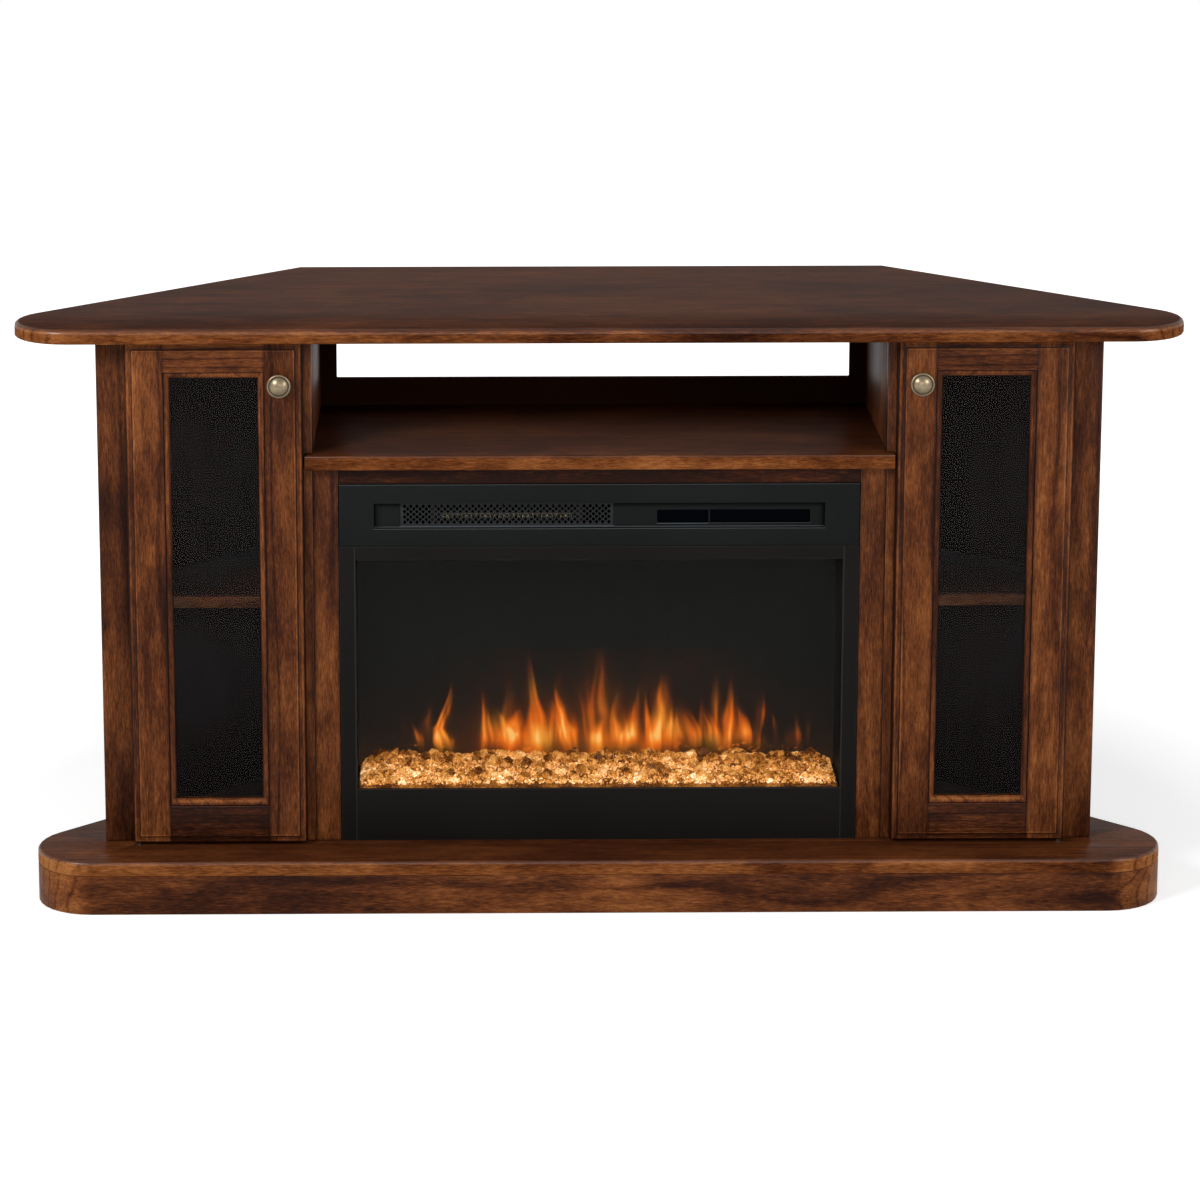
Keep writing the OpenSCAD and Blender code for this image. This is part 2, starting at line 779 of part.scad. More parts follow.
// Pivot pins at both ends of the hinge stile, and the strike plate of the magnetic catch
strike_t = 1;
module door_fittings(s) {
    color("silver") on_side(s) {
        translate([pivot_x, pivot_y, door_z0 - door_bottom_gap - bush_depth + 1])
            cylinder(d = pivot_d, h = bush_depth - 1 + door_bottom_gap + pivot_in_door - 1);
        translate([pivot_x, pivot_y, door_z1 - pivot_in_door])
            cylinder(d = pivot_d, h = pivot_in_door + door_top_gap + bush_depth - 1);
        block([bay_x + inner_stile_w + 2, door_y + door_t, catch_z - catch_h / 2],
              [bay_x + inner_stile_w + 14, door_y + door_t + strike_t, catch_z + catch_h / 2]);
    }
}

module pivot_bushes() {
    color("goldenrod") for (s = [-1, 1]) on_side(s)
        for (z = [base_h - bush_depth, top_under])
            translate([pivot_x, pivot_y, z]) difference() {
                cylinder(d = pivot_d + 2 * bush_wall, h = bush_depth);
                translate([0, 0, -1])
                    cylinder(d = pivot_d + 2 * pivot_clear, h = bush_depth + 2);
            }
}

// Each catch is fixed to the edge of the inner stile and meets its strike plate
module door_catches() {
    front = door_y + door_t + strike_t + 0.3;
    color("dimgray") for (s = [-1, 1]) on_side(s)
        block([bay_x + inner_stile_w, front, catch_z - catch_h / 2],
              [bay_x + inner_stile_w + 14, frame_back_y, catch_z + catch_h / 2]);
}

// ---- Insert front ----

module fascia() {
    half = insert_w / 2;
    back = slot_back_y + sheet_t;
    color(black_steel) difference() {
        union() {
            difference() {
                block([-half, insert_y, fascia_z0], [half, insert_y + fold_d, insert_top]);
                block([-half + sheet_t, insert_y + sheet_t, fascia_z0 - 1],
                      [half - sheet_t, insert_y + fold_d + 1, insert_top - sheet_t]);
            }
            block([-slot_w / 2 - sheet_t, insert_y, slot_z0 - sheet_t],
                  [slot_w / 2 + sheet_t, back, slot_z1 + sheet_t]);
        }
        block([-slot_w / 2, insert_y - 1, slot_z0], [slot_w / 2, slot_back_y, slot_z1]);
        block([mesh_x0, insert_y, slot_z0 + sheet_t], [mesh_x0 + mesh_w, back + 1, slot_z1 - sheet_t]);
        for (x = [[small_window_x0, small_window_w], [large_window_x0, large_window_w]])
            block([x[0], insert_y, window_z0], [x[0] + x[1], back + 1, window_z0 + window_h]);
    }
}

display_t = 2;
display_x0 = small_window_x0 - 3;
module display_lens() {
    y = slot_back_y + sheet_t;
    color([0.03, 0.03, 0.05]) block([display_x0, y, window_z0 - 3],
                                    [window_x1 + 3, y + display_t, window_z0 + window_h + 3]);
}

// Circuit board behind the display, with its components and four spacers to the fascia
board_t = 1.6;
board_gap = 10;
module control_board() {
    y = slot_back_y + sheet_t;
    y0 = y + board_gap;
    x0 = display_x0 - 6;
    x1 = window_x1 + 8;
    z0 = slot_z0 - 1;
    z1 = slot_z1 + 1;
    color("darkgreen") {
        block([x0, y0, z0], [x1, y0 + board_t, z1]);
        for (x = [x0 + 2, x1 - 2]) for (z = [z0 + 2.5, z1 - 2.5])
            translate([x, y, z]) rotate([-90, 0, 0]) cylinder(d = 3, h = board_gap);
        for (i = [0 : 2])
            block([x0 + 20 + i * 42, y0 + board_t, z0 + 6], [x0 + 40 + i * 42, y0 + 16, z0 + 24]);
    }
}

// Six-sided hole of the staggered grille: the cell nearest to one centre, less half a web
module mesh_hole() {
    slope = 2 * mesh_row / mesh_pitch;
    half_h = mesh_row - mesh_web / 2;
    tip = mesh_pitch / 4 + mesh_row * mesh_row / mesh_pitch
        - mesh_web / 2 * sqrt(1 + slope * slope);
    flat = tip - slope * half_h;
    polygon([[-tip, 0], [-flat, -half_h], [flat, -half_h],
             [tip, 0], [flat, half_h], [-flat, half_h]]);
}

module heater_grille() {
    y = slot_back_y + sheet_t;
    rim = 3;
    rows = floor((slot_h - 2 * sheet_t - 2 * mesh_row) / mesh_row);
    cols = floor((mesh_w - mesh_pitch) / mesh_pitch);
    mid_x = mesh_x0 + mesh_w / 2;
    mid_z = (slot_z0 + slot_z1) / 2;
    color(black_steel) translate([mid_x, y + 1, mid_z]) rotate([90, 0, 0]) linear_extrude(1)
        difference() {
            translate([-mesh_w / 2 - rim, -slot_h / 2]) square([mesh_w + 2 * rim, slot_h]);
            for (j = [0 : rows]) for (i = [0 : cols - (j % 2)])
                translate([(i - cols / 2 + (j % 2) / 2) * mesh_pitch, (j - rows / 2) * mesh_row])
                    mesh_hole();
        }
}

// ---- Heater and blower ----

bar_h = 3;
heater_y = slot_back_y + sheet_t + 6;

// Folded strip of fins: a zigzag of thickness t, seen from the front, its folds brazed into the bars
module fin_row(l, h, pitch, t) {
    n = floor(l / pitch);
    step = l / n / 2;
    low = [for (i = [0 : 2 * n]) [i * step, i % 2 == 0 ? -t / 2 : h - t / 2]];
    high = [for (i = [2 * n : -1 : 0]) [i * step, i % 2 == 0 ? t / 2 : h + t / 2]];
    polygon(concat(low, high));
}

// Two rows of folded fins between flat bars, in end caps
fin_t = 0.8;
cap_t = 5;
module heater_element() {
    total = 2 * fin_row_h + 3 * bar_h;
    z0 = (slot_z0 + slot_z1) / 2 - total / 2;
    color("silver") translate([0, heater_y, z0]) {
        for (i = [0 : 2])
            translate([heater_x0, 0, i * (fin_row_h + bar_h)]) cube([heater_l, heater_d, bar_h]);
        for (i = [0 : 1])
            translate([heater_x0, heater_d, bar_h + i * (fin_row_h + bar_h)]) rotate([90, 0, 0])
                linear_extrude(heater_d) fin_row(heater_l, fin_row_h, fin_pitch, fin_t);
        for (x = [heater_x0 - cap_t, heater_x1])
            translate([x, 0, -fin_t]) cube([cap_t, heater_d, total + 2 * fin_t]);
    }
}

wheel_x0 = heater_x0 + 2;
wheel_x1 = heater_x1 - 2;
plate_x0 = heater_x0 - end_gap - sheet_t;
plate_x1 = heater_x1 + end_gap;
scroll_r = wheel_r + 5;
bore_d = shaft_d + 2 * run_clear;

// Sheet housing: two end plates, a scroll behind the wheel and a duct to the grille
module blower_housing() {
    front = heater_y;
    duct_z0 = wheel_z - scroll_r;
    duct_z1 = slot_z1 + 4;
    color(galvanised) {
        difference() {
            for (x = [plate_x0, plate_x1])
                block([x, front, duct_z0], [x + sheet_t, wheel_y + scroll_r, casing_top - sheet_t]);
            translate([plate_x0 - 1, wheel_y, wheel_z]) rotate([0, 90, 0])
                cylinder(d = bore_d, h = plate_x1 - plate_x0 + sheet_t + 2);
        }
        translate([plate_x0, wheel_y, wheel_z]) rotate([90, 0, 90])
            linear_extrude(plate_x1 - plate_x0 + sheet_t) difference() {
                circle(scroll_r);
                circle(scroll_r - sheet_t);
                translate([-2 * scroll_r, -scroll_r + sheet_t]) square([2 * scroll_r, 3 * scroll_r]);
                translate([-scroll_r, 0]) square([2 * scroll_r, 2 * scroll_r]);
            }
        block([plate_x0, front, duct_z0], [plate_x1 + sheet_t, wheel_y, duct_z0 + sheet_t]);
        block([plate_x0, front, duct_z1],
              [plate_x1 + sheet_t, wheel_y - scroll_r + 10, duct_z1 + sheet_t]);
    }
}

// Cross-flow wheel: curved blades between end discs on a through shaft
module blower_wheel() {
    disc_t = 2;
    blade_r = 7;
    blade_t = 0.8;
    l = wheel_x1 - wheel_x0;
    color("dimgray") translate([wheel_x0, wheel_y, wheel_z]) rotate([90, 0, 90]) {
        for (z = [0, (l - disc_t) / 2, l - disc_t]) translate([0, 0, z])
            cylinder(r = wheel_r, h = disc_t);
        linear_extrude(l) for (i = [0 : blade_count - 1]) rotate(i * 360 / blade_count)
            intersection() {
                translate([wheel_r - blade_r / 2, blade_r - 1]) difference() {
                    circle(blade_r);
                    circle(blade_r - blade_t);
                }
                translate([wheel_r - blade_r, -2]) square([blade_r - 0.4, 4]);
            }
        translate([0, 0, plate_x0 - wheel_x0 - 3])
            cylinder(d = shaft_d, h = plate_x1 - plate_x0 + sheet_t + 8);
    }
}

module blower_motor() {
    x0 = plate_x1 + sheet_t;
    color(galvanised) translate([x0, wheel_y, wheel_z]) rotate([0, 90, 0]) difference() {
        union() {
            cylinder(d = blower_motor_d - 14, h = blower_motor_l);
            translate([0, 0, 6]) cylinder(d = blower_motor_d, h = blower_motor_l - 12);
        }
        translate([0, 0, -1]) cylinder(d = bore_d, h = 9);
    }
}

// ---- Fire opening ----

module front_frame() {
    half = insert_w / 2;
    top = fascia_z0 - seam_w;
    color(black_steel) difference() {
        block([-half, insert_y, base_h], [half, insert_y + fold_d, top]);
        block([-half + sheet_t, insert_y + sheet_t, base_h - 1],
              [half - sheet_t, insert_y + fold_d + 1, top + 1]);
        block([-fire_w / 2, insert_y - 1, fire_z0], [fire_w / 2, insert_y + fold_d, fire_z1]);
        for (s = [-1, 1]) on_side(s)
            block([fire_w / 2 + 0.8, insert_y - 1, base_h - 1],
                  [fire_w / 2 + 0.8 + seam_w, insert_y + sheet_t / 2, top + 1]);
    }
}

module front_glass() {
    half = fire_w / 2 + front_glass_lap;
    color(dark_glass) block([-half, insert_y + sheet_t, fire_z0 - front_glass_lap],
                            [half, glass_back_y, fire_z1 + front_glass_lap]);
}

// Folded steel casing, open at the front, with air slots in its back
vent_count = 14;
vent_pitch = 14;
vent_w = 5;
vent_h = 46;
module insert_casing() {
    color(galvanised) difference() {
        block([-casing_x, insert_y + sheet_t, base_h], [casing_x, insert_back_y, casing_top]);
        block([-casing_in_x, insert_y, base_h + sheet_t],
              [casing_in_x, insert_back_y - sheet_t, casing_top - sheet_t]);
        for (i = [0 : vent_count - 1])
            block([heater_x0 + i * vent_pitch, insert_back_y - sheet_t - 1, casing_top - 20 - vent_h],
                  [heater_x0 + i * vent_pitch + vent_w, insert_back_y + 1, casing_top - 20]);
        translate([inlet_x, insert_back_y - sheet_t - 1, inlet_z]) rotate([-90, 0, 0])
            cylinder(d = inlet_d, h = sheet_t + 2);
    }
}

// Black box round the fire, open at the front and back, between two decks
module chamber_liner() {
    x = fire_w / 2 + 1;
    color([0.05, 0.05, 0.05]) {
        difference() {
            block([-x - sheet_t, glass_back_y, deck_z - sheet_t],
                  [x + sheet_t, screen_y, ceiling_z + sheet_t]);
            block([-x, glass_back_y - 1, deck_z], [x, screen_y + 1, ceiling_z]);
        }
        for (s = [-1, 1]) on_side(s) for (z = [deck_z - sheet_t, ceiling_z])
            block([x, glass_back_y, z], [casing_in_x, screen_y, z + sheet_t]);
    }
}

module flame_screen() {
    x = fire_w / 2 + 1 + sheet_t;
    color([0.3, 0.3, 0.3, 0.7])
        block([-x, screen_y, deck_z - sheet_t], [x, screen_y + screen_t, ceiling_z + sheet_t]);
}

tray_x = fire_w / 2 + 0.5;
tray_y0 = glass_back_y + 1;
tray_y1 = screen_y - 0.5;
module ember_tray() {
    color([0.05, 0.05, 0.05]) difference() {
        block([-tray_x, tray_y0, deck_z], [tray_x, tray_y1, fire_z0 - 1]);
        block([-tray_x + tray_t, tray_y0 + tray_t, deck_z + tray_t],
              [tray_x - tray_t, tray_y1 - tray_t, fire_z0]);
    }
}

// Mound of crushed glass: low in front, crested at the back, sloping off at both ends
module ember_bed() {
    x = tray_x - tray_t - 0.3;
    y0 = tray_y0 + tray_t + 0.3;
    y1 = tray_y1 - tray_t - 0.3;
    z0 = deck_z + tray_t;
    crest = fire_z0 + bed_crest_h;
    color("goldenrod") intersection() {
        translate([-x, 0, 0]) rotate([90, 0, 90]) linear_extrude(2 * x) polygon([
            [y0, z0], [y1, z0], [y1, crest - 3], [y1 - 18, crest],
            [(y0 + y1) / 2, crest - 4], [y0 + 12, fire_z0 + bed_front_h + 4],
            [y0, fire_z0 + bed_front_h]
        ]);
        translate([0, y1, 0]) rotate([90, 0, 0]) linear_extrude(y1 - y0) polygon([
            [-x, z0], [x, z0], [x, fire_z0], [x - bed_slope / 3, crest - bed_crest_h / 2],
            [x - bed_slope, crest], [-x + bed_slope, crest],
            [-x + bed_slope / 3, crest - bed_crest_h / 2], [-x, fire_z0]
        ]);
    }
}

// ---- Flame mechanism ----

// Rod with flat reflectors, each turned a step from the one before
module flicker_rod() {
    first = -rod_half + journal_l + 10;
    pitch = (2 * rod_half - 2 * journal_l - 20 - tab_l) / (tab_count - 1);
    turn = 65;
    tab_t = 0.8;
    color("gainsboro") translate([0, rod_y, rod_z]) {
        translate([-rod_half, 0, 0]) rotate([0, 90, 0]) cylinder(d = rod_d, h = 2 * rod_half);
        for (i = [0 : tab_count - 1]) translate([first + i * pitch, 0, 0]) rotate([i * turn, 0, 0])
            translate([0, -tab_t / 2, -tab_reach]) cube([tab_l, tab_t, 2 * tab_reach]);
    }
}

bearing_w = 26;
bearing_t = 6;
module rod_bearings() {
    color("whitesmoke") for (s = [-1, 1]) on_side(s) difference() {
        union() {
            block([rod_half - journal_l / 2 - bearing_t / 2, rod_y - bearing_w / 2, base_h + sheet_t],
                  [rod_half - journal_l / 2 + bearing_t / 2, rod_y + bearing_w / 2, rod_z]);
            translate([rod_half - journal_l / 2 - bearing_t / 2, rod_y, rod_z])
                rotate([0, 90, 0]) cylinder(d = bearing_w, h = bearing_t);
            block([rod_half - journal_l / 2 - 12, rod_y - bearing_w / 2, base_h + sheet_t],
                  [rod_half - journal_l / 2 + bearing_t / 2, rod_y + bearing_w / 2,
                   base_h + sheet_t + 3]);
        }
        translate([0, rod_y, rod_z]) rotate([0, 90, 0])
            cylinder(d = rod_d + 2 * run_clear, h = rod_half + 10);
    }
}

// Flat geared motor on the right-hand bearing, round the end of the rod
module flicker_motor() {
    x0 = rod_half - journal_l / 2 + bearing_t / 2;
    color(galvanised) translate([x0, rod_y, rod_z]) rotate([0, 90, 0]) difference() {
        cylinder(d = flicker_motor_d, h = flicker_motor_t);
        translate([0, 0, -1]) cylinder(d = rod_d + 2 * run_clear, h = journal_l / 2 + 1.5);
    }
}

// Circuit strip with lamps on a folded bracket, in front of the rod
led_ahead = 30;
led_end_gap = 30;
led_y = screen_y - led_ahead;
module light_bar() {
    l = 2 * (rod_half - led_end_gap);
    z = base_h + sheet_t;
    color("whitesmoke") {
        block([-l / 2, led_y, z], [l / 2, led_y + led_bar_w, z + 2]);
        block([-l / 2, led_y, z], [l / 2, led_y + 2, z + led_bar_w]);
        for (i = [0 : led_count - 1])
            translate([-l / 2 + l * (i + 0.5) / led_count - 3, led_y + 2, z + led_bar_w / 2 - 2])
                cube([6, 2, 5]);
    }
}

inlet_d = 16;
inlet_bore_d = 9;
inlet_l = 14;
inlet_in = 50;
inlet_up = 40;
inlet_x = casing_in_x - inlet_in;
inlet_z = base_h + inlet_up;
// Gland in the casing's back, for the supply cord
module power_inlet() {
    color([0.08, 0.08, 0.08]) translate([inlet_x, insert_back_y, inlet_z]) rotate([-90, 0, 0])
        difference() {
            union() {
                translate([0, 0, -sheet_t - 4]) cylinder(d = inlet_d, h = inlet_l + sheet_t);
                cylinder(d = inlet_d + 8, h = 4);
                translate([0, 0, -sheet_t - 5]) cylinder(d = inlet_d + 8, h = 5, $fn = 6);
            }
            translate([0, 0, -inlet_l]) cylinder(d = inlet_bore_d, h = 3 * inlet_l);
        }
}

// Angle brackets from the casing's sides to the inner panels
module insert_brackets() {
    y = insert_back_y - 36;
    t = 2;
    z0 = base_h + insert_h / 2;
    leg = 30;
    h = 40;
    color(galvanised) for (s = [-1, 1]) on_side(s) {
        block([casing_x, y, z0], [casing_x + t, y + leg, z0 + h]);
        block([casing_x, y, z0], [bay_x, y + t, z0 + h]);
        block([bay_x - t, y, z0], [bay_x, y + leg, z0 + h]);
    }
}

top_board();
hearth_board();
base_apron();
base_bearers();
inner_panel(-1);  // left_inner_panel
inner_panel(1);  // right_inner_panel
outer_panel(-1);  // left_outer_panel
outer_panel(1);  // right_outer_panel
corner_back(-1);  // left_corner_back
corner_back(1);  // right_corner_back
back_panel();
outer_stile(-1);  // left_outer_stile
outer_stile(1);  // right_outer_stile
inner_stile(-1);  // left_inner_stile
inner_stile(1);  // right_inner_stile
face_rails();
tower_shelf(-1);  // left_tower_shelf
tower_shelf(1);  // right_tower_shelf
shelf_pins();
media_shelf();
surround_stile(-1);  // surround_left_stile
surround_stile(1);  // surround_right_stile
surround_top_rail();
door_hinge_stile(-1);  // left_door_hinge_stile
door_knob_stile(-1);  // left_door_knob_stile
door_rails(-1);  // left_door_rails
door_bead(-1);  // left_door_bead
door_glass(-1);  // left_door_glass
door_knob(-1);  // left_door_knob
door_fittings(-1);  // left_door_fittings
door_hinge_stile(1);  // right_door_hinge_stile
door_knob_stile(1);  // right_door_knob_stile
door_rails(1);  // right_door_rails
door_bead(1);  // right_door_bead
door_glass(1);  // right_door_glass
door_knob(1);  // right_door_knob
door_fittings(1);  // right_door_fittings
pivot_bushes();
door_catches();
fascia();
display_lens();
control_board();
heater_grille();
heater_element();
blower_housing();
blower_wheel();
blower_motor();
front_frame();
front_glass();
insert_casing();
chamber_liner();
flame_screen();
ember_tray();
ember_bed();
flicker_rod();
rod_bearings();
flicker_motor();
light_bar();
power_inlet();
insert_brackets();
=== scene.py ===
# %% [markdown]
# # A corner media console with an electric fire
#
# The console stands in the corner of a room. Two glazed towers and one long top board frame an
# open shelf and an electric fire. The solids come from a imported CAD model, so every piece is
# already in place, in metres. This lesson gives them eased edges, wood grain, lacquer and paint,
# and builds what the solids only hint at: the crushed glass, the flames and the screws.

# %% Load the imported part
import json
import math
import random
import bpy
import numpy as np
from mathutils import Matrix, Vector

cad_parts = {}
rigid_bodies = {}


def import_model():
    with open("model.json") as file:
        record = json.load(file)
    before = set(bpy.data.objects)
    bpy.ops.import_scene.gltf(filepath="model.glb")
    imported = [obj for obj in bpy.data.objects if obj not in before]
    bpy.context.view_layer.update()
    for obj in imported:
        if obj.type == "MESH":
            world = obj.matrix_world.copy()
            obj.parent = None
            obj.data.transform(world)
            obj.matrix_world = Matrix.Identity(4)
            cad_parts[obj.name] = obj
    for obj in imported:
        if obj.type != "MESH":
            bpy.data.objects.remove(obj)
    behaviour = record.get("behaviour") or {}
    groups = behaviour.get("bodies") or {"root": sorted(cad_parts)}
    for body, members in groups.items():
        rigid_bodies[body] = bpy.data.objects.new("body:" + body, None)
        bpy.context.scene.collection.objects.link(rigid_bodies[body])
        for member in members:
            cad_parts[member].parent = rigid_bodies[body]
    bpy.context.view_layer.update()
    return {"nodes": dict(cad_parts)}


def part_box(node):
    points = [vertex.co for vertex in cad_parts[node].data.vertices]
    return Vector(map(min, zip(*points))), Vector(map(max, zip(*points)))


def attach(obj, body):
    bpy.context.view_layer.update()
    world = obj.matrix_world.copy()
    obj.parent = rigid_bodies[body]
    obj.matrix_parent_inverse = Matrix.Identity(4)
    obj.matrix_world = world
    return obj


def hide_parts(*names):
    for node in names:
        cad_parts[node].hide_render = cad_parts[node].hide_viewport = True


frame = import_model()
nodes = frame["nodes"]

# %% [markdown]
# ## Camera
#
# The view is that of a long lens held level with the room, a little above the top board. A
# shifted lens keeps the uprights almost parallel, as in a catalogue picture. The place, the
# turns, the focal length and the shift are written as they were fitted to the edges of the
# object in a picture of 1200 by 1200 pixels.

# %% Place the camera
PICTURE = 1200
SENSOR = 36.0
camera_place = Vector((-0.157, -5.160, 1.741))
camera_yaw, camera_pitch, camera_roll = (math.radians(a) for a in (-0.45, 11.61, -0.08))
focal_pixels, centre_column, centre_row = 3992.0, 508.0, 360.0


def look_axes(yaw, pitch, roll):
    side = Matrix.Rotation(yaw, 3, "Z") @ Vector((1, 0, 0))
    level = Matrix.Rotation(yaw, 3, "Z") @ Vector((0, 1, 0))
    ahead = math.cos(pitch) * level - math.sin(pitch) * Vector((0, 0, 1))
    above = math.sin(pitch) * level + math.cos(pitch) * Vector((0, 0, 1))
    turned_side = math.cos(roll) * side + math.sin(roll) * above
    turned_above = math.cos(roll) * above - math.sin(roll) * side
    return turned_side, turned_above, -ahead


lens = bpy.data.cameras.new("catalogue_lens")
lens.sensor_width = SENSOR
lens.lens = SENSOR * focal_pixels / PICTURE
lens.shift_x = (PICTURE / 2 - centre_column) / PICTURE
lens.shift_y = (centre_row - PICTURE / 2) / PICTURE
camera = bpy.data.objects.new("catalogue_camera", lens)
camera.matrix_world = Matrix.Translation(camera_place) @ Matrix(
    look_axes(camera_yaw, camera_pitch, camera_roll)).transposed().to_4x4()
bpy.context.scene.collection.objects.link(camera)
bpy.context.scene.camera = camera
print("lens", round(lens.lens, 1), "mm, shift", round(lens.shift_x, 3), round(lens.shift_y, 3))

# %% [markdown]
# ## Shader maths in plain expressions
#
# A procedural finish is a small calculation on the place of a point. To write it as such, one
# class wraps a socket and lends it the arithmetic signs, each of which adds a Math node. All
# other nodes come from one method of the finish itself, which sets a node's options first and
# then its sockets.


# %% Wire
class Wire:
    def __init__(self, finish, socket):
        self.finish, self.socket = finish, socket

    def maths(self, operation, first, second=None):
        inputs = {0: first} if second is None else {0: first, 1: second}
        return self.finish.node("Math", inputs, operation=operation)

    def __add__(self, other):
        return self.maths("ADD", self, other)

    def __sub__(self, other):
        return self.maths("SUBTRACT", self, other)

    def __rsub__(self, other):
        return self.maths("SUBTRACT", other, self)

    def __mul__(self, other):
        return self.maths("MULTIPLY", self, other)

    def __truediv__(self, other):
        return self.maths("DIVIDE", self, other)

    def __pow__(self, other):
        return self.maths("POWER", self, other)

    __radd__ = __add__
    __rmul__ = __mul__

    def larger(self, other):
        return self.maths("MAXIMUM", self, other)

    def smaller(self, other):
        return self.maths("MINIMUM", self, other)

    def size(self):
        return self.maths("ABSOLUTE", self)

    def clamped(self):
        return self.larger(0.0).smaller(1.0)


print("signs that a wire understands", "+ - * / **")


# %% Finish
class Finish:
    def __init__(self, name):
        self.material = bpy.data.materials.new(name)
        self.material.use_nodes = True
        self.tree = self.material.node_tree
        self.tree.nodes.clear()
        self.place = self.node("TexCoord", out="Object")

    def node(self, kind, inputs=None, out=0, stops=None, **options):
        made = self.tree.nodes.new("ShaderNode" + kind)
        for name, value in options.items():
            setattr(made, name, value)
        if stops:
            ramp = made.color_ramp
            while len(ramp.elements) < len(stops):
                ramp.elements.new(0.5)
            for element, (position, colour) in zip(ramp.elements, stops):
                element.position = position
                element.color = (*colour, 1) if len(colour) == 3 else colour
        for name, value in (inputs or {}).items():
            if isinstance(value, Wire):
                self.tree.links.new(value.socket, made.inputs[name])
            else:
                made.inputs[name].default_value = value
        return Wire(self, made.outputs[out])

    def along(self, axis):
        """The place of a point along X, Y or Z, in metres."""
        return self.node("SeparateXYZ", {0: self.place}, out=axis)

    def room(self, low, high, axes):
        """How far a point lies inside a box, counted along some of its axes."""
        least = None
        for axis in axes:
            off = (self.along("XYZ"[axis]) - (low[axis] + high[axis]) / 2).size()
            gap = (high[axis] - low[axis]) / 2 - off
            least = gap if least is None else least.smaller(gap)
        return least

    def stretched(self, scale, offset=(0, 0, 0)):
        return self.node("Mapping", {"Vector": self.place, "Scale": scale, "Location": offset})

    def noise(self, vector, scale, detail=2.0, roughness=0.5, distortion=0.0):
        return self.node("TexNoise", {"Vector": vector, "Scale": scale, "Detail": detail,
                                      "Roughness": roughness, "Distortion": distortion})

    def ramp(self, factor, *stops):
        return self.node("ValToRGB", {0: factor}, stops=stops)

    def bump(self, height, distance, strength=1.0):
        return self.node("Bump", {"Height": height, "Distance": distance, "Strength": strength})

    def surface(self, **sockets):
        inputs = {name.replace("_", " "): value for name, value in sockets.items()}
        self.show(self.node("BsdfPrincipled", inputs))
        return self.material

    def show(self, shader):
        output = self.tree.nodes.new("ShaderNodeOutputMaterial")
        self.tree.links.new(shader.socket, output.inputs["Surface"])
        return self.material


def paint(red, green, blue):
    """A colour given as on a screen, 0 to 255, as the light values that Blender wants."""
    values = [v / 255 for v in (red, green, blue)]
    return tuple(v / 12.92 if v <= 0.04045 else ((v + 0.055) / 1.055) ** 2.4 for v in values)


print("a mid brown is", [round(v, 3) for v in paint(101, 57, 30)])

# %% [markdown]
# ## Light
#
# A catalogue studio has large soft lamps and a white sweep. The world gives an even light, and
# is plain white where the camera, a reflection or a pane looks at it. The floor is a plain pale
# surface that fades into that white and keeps the shadow under the base.


# %% World
def studio_world(level):
    world = bpy.data.worlds.new("studio")
    world.use_nodes = True
    tree = world.node_tree
    tree.nodes.clear()
    rays = tree.nodes.new("ShaderNodeLightPath")
    seen = rays.outputs["Is Camera Ray"]
    for name in ("Is Glossy Ray", "Is Transmission Ray"):
        either = tree.nodes.new("ShaderNodeMath")
        either.operation = "MAXIMUM"
        tree.links.new(seen, either.inputs[0])
        tree.links.new(rays.outputs[name], either.inputs[1])
        seen = either.outputs[0]
    mix = tree.nodes.new("ShaderNodeMixShader")
    output = tree.nodes.new("ShaderNodeOutputWorld")
    for slot, strength in ((1, level), (2, 1.0)):
        light = tree.nodes.new("ShaderNodeBackground")
        light.inputs["Color"].default_value = (1, 1, 1, 1)
        light.inputs["Strength"].default_value = strength
        tree.links.new(light.outputs[0], mix.inputs[slot])
    tree.links.new(seen, mix.inputs[0])
    tree.links.new(mix.outputs[0], output.inputs["Surface"])
    bpy.context.scene.world = world


bpy.context.scene.view_settings.view_transform = "Standard"
studio_world(0.26)
print("world", bpy.context.scene.world.name)


# %% Lamps
def soft_lamp(name, place, target, size, watts):
    data = bpy.data.lights.new(name, "AREA")
    data.shape = "RECTANGLE"
    data.size, data.size_y = size
    data.energy = watts
    lamp = bpy.data.objects.new(name, data)
    lamp.location = place
    lamp.rotation_euler = (Vector(target) - Vector(place)).to_track_quat("-Z", "Y").to_euler()
    bpy.context.scene.collection.objects.link(lamp)


soft_lamp("key_lamp", (-2.3, -2.5, 2.3), (-0.2, 0, 0.4), (1.1, 0.9), 90)
soft_lamp("fill_lamp", (2.5, -2.5, 1.6), (0.2, 0, 0.4), (1.3, 1.3), 52)
soft_lamp("front_lamp", (0.0, -3.6, 1.1), (0, 0, 0.4), (2.0, 0.8), 20)

# %% Floor
# The floor turns white between 0.85 and 1.45 m from the middle of the base
FADE_START, FADE_LENGTH = 0.85, 0.6
bpy.ops.mesh.primitive_plane_add(size=12, location=(0, 0, -0.0005))
floor = bpy.context.object
floor.name = "studio_floor"
pale = Finish("pale_floor")
sheen = pale.noise(pale.place, 1.5)
lit = pale.node("BsdfDiffuse", {"Color": pale.ramp(sheen, (0, (0.80, 0.80, 0.80)),
                                                   (1, (0.84, 0.84, 0.84)))})
none = pale.node("Emission", {"Color": (0, 0, 0, 1), "Strength": 0.0})
near = pale.node("Emission", {"Color": (1, 1, 1, 1), "Strength": 0.52})
far = pale.node("Emission", {"Color": (1, 1, 1, 1), "Strength": 1.0})
distance = pale.node("VectorMath", {0: pale.place}, out="Value", operation="LENGTH")
glow = pale.node("MixShader", {
    0: ((distance - FADE_START) / FADE_LENGTH).clamped(), 1: near, 2: far})
seen = pale.node("LightPath", out="Is Camera Ray")
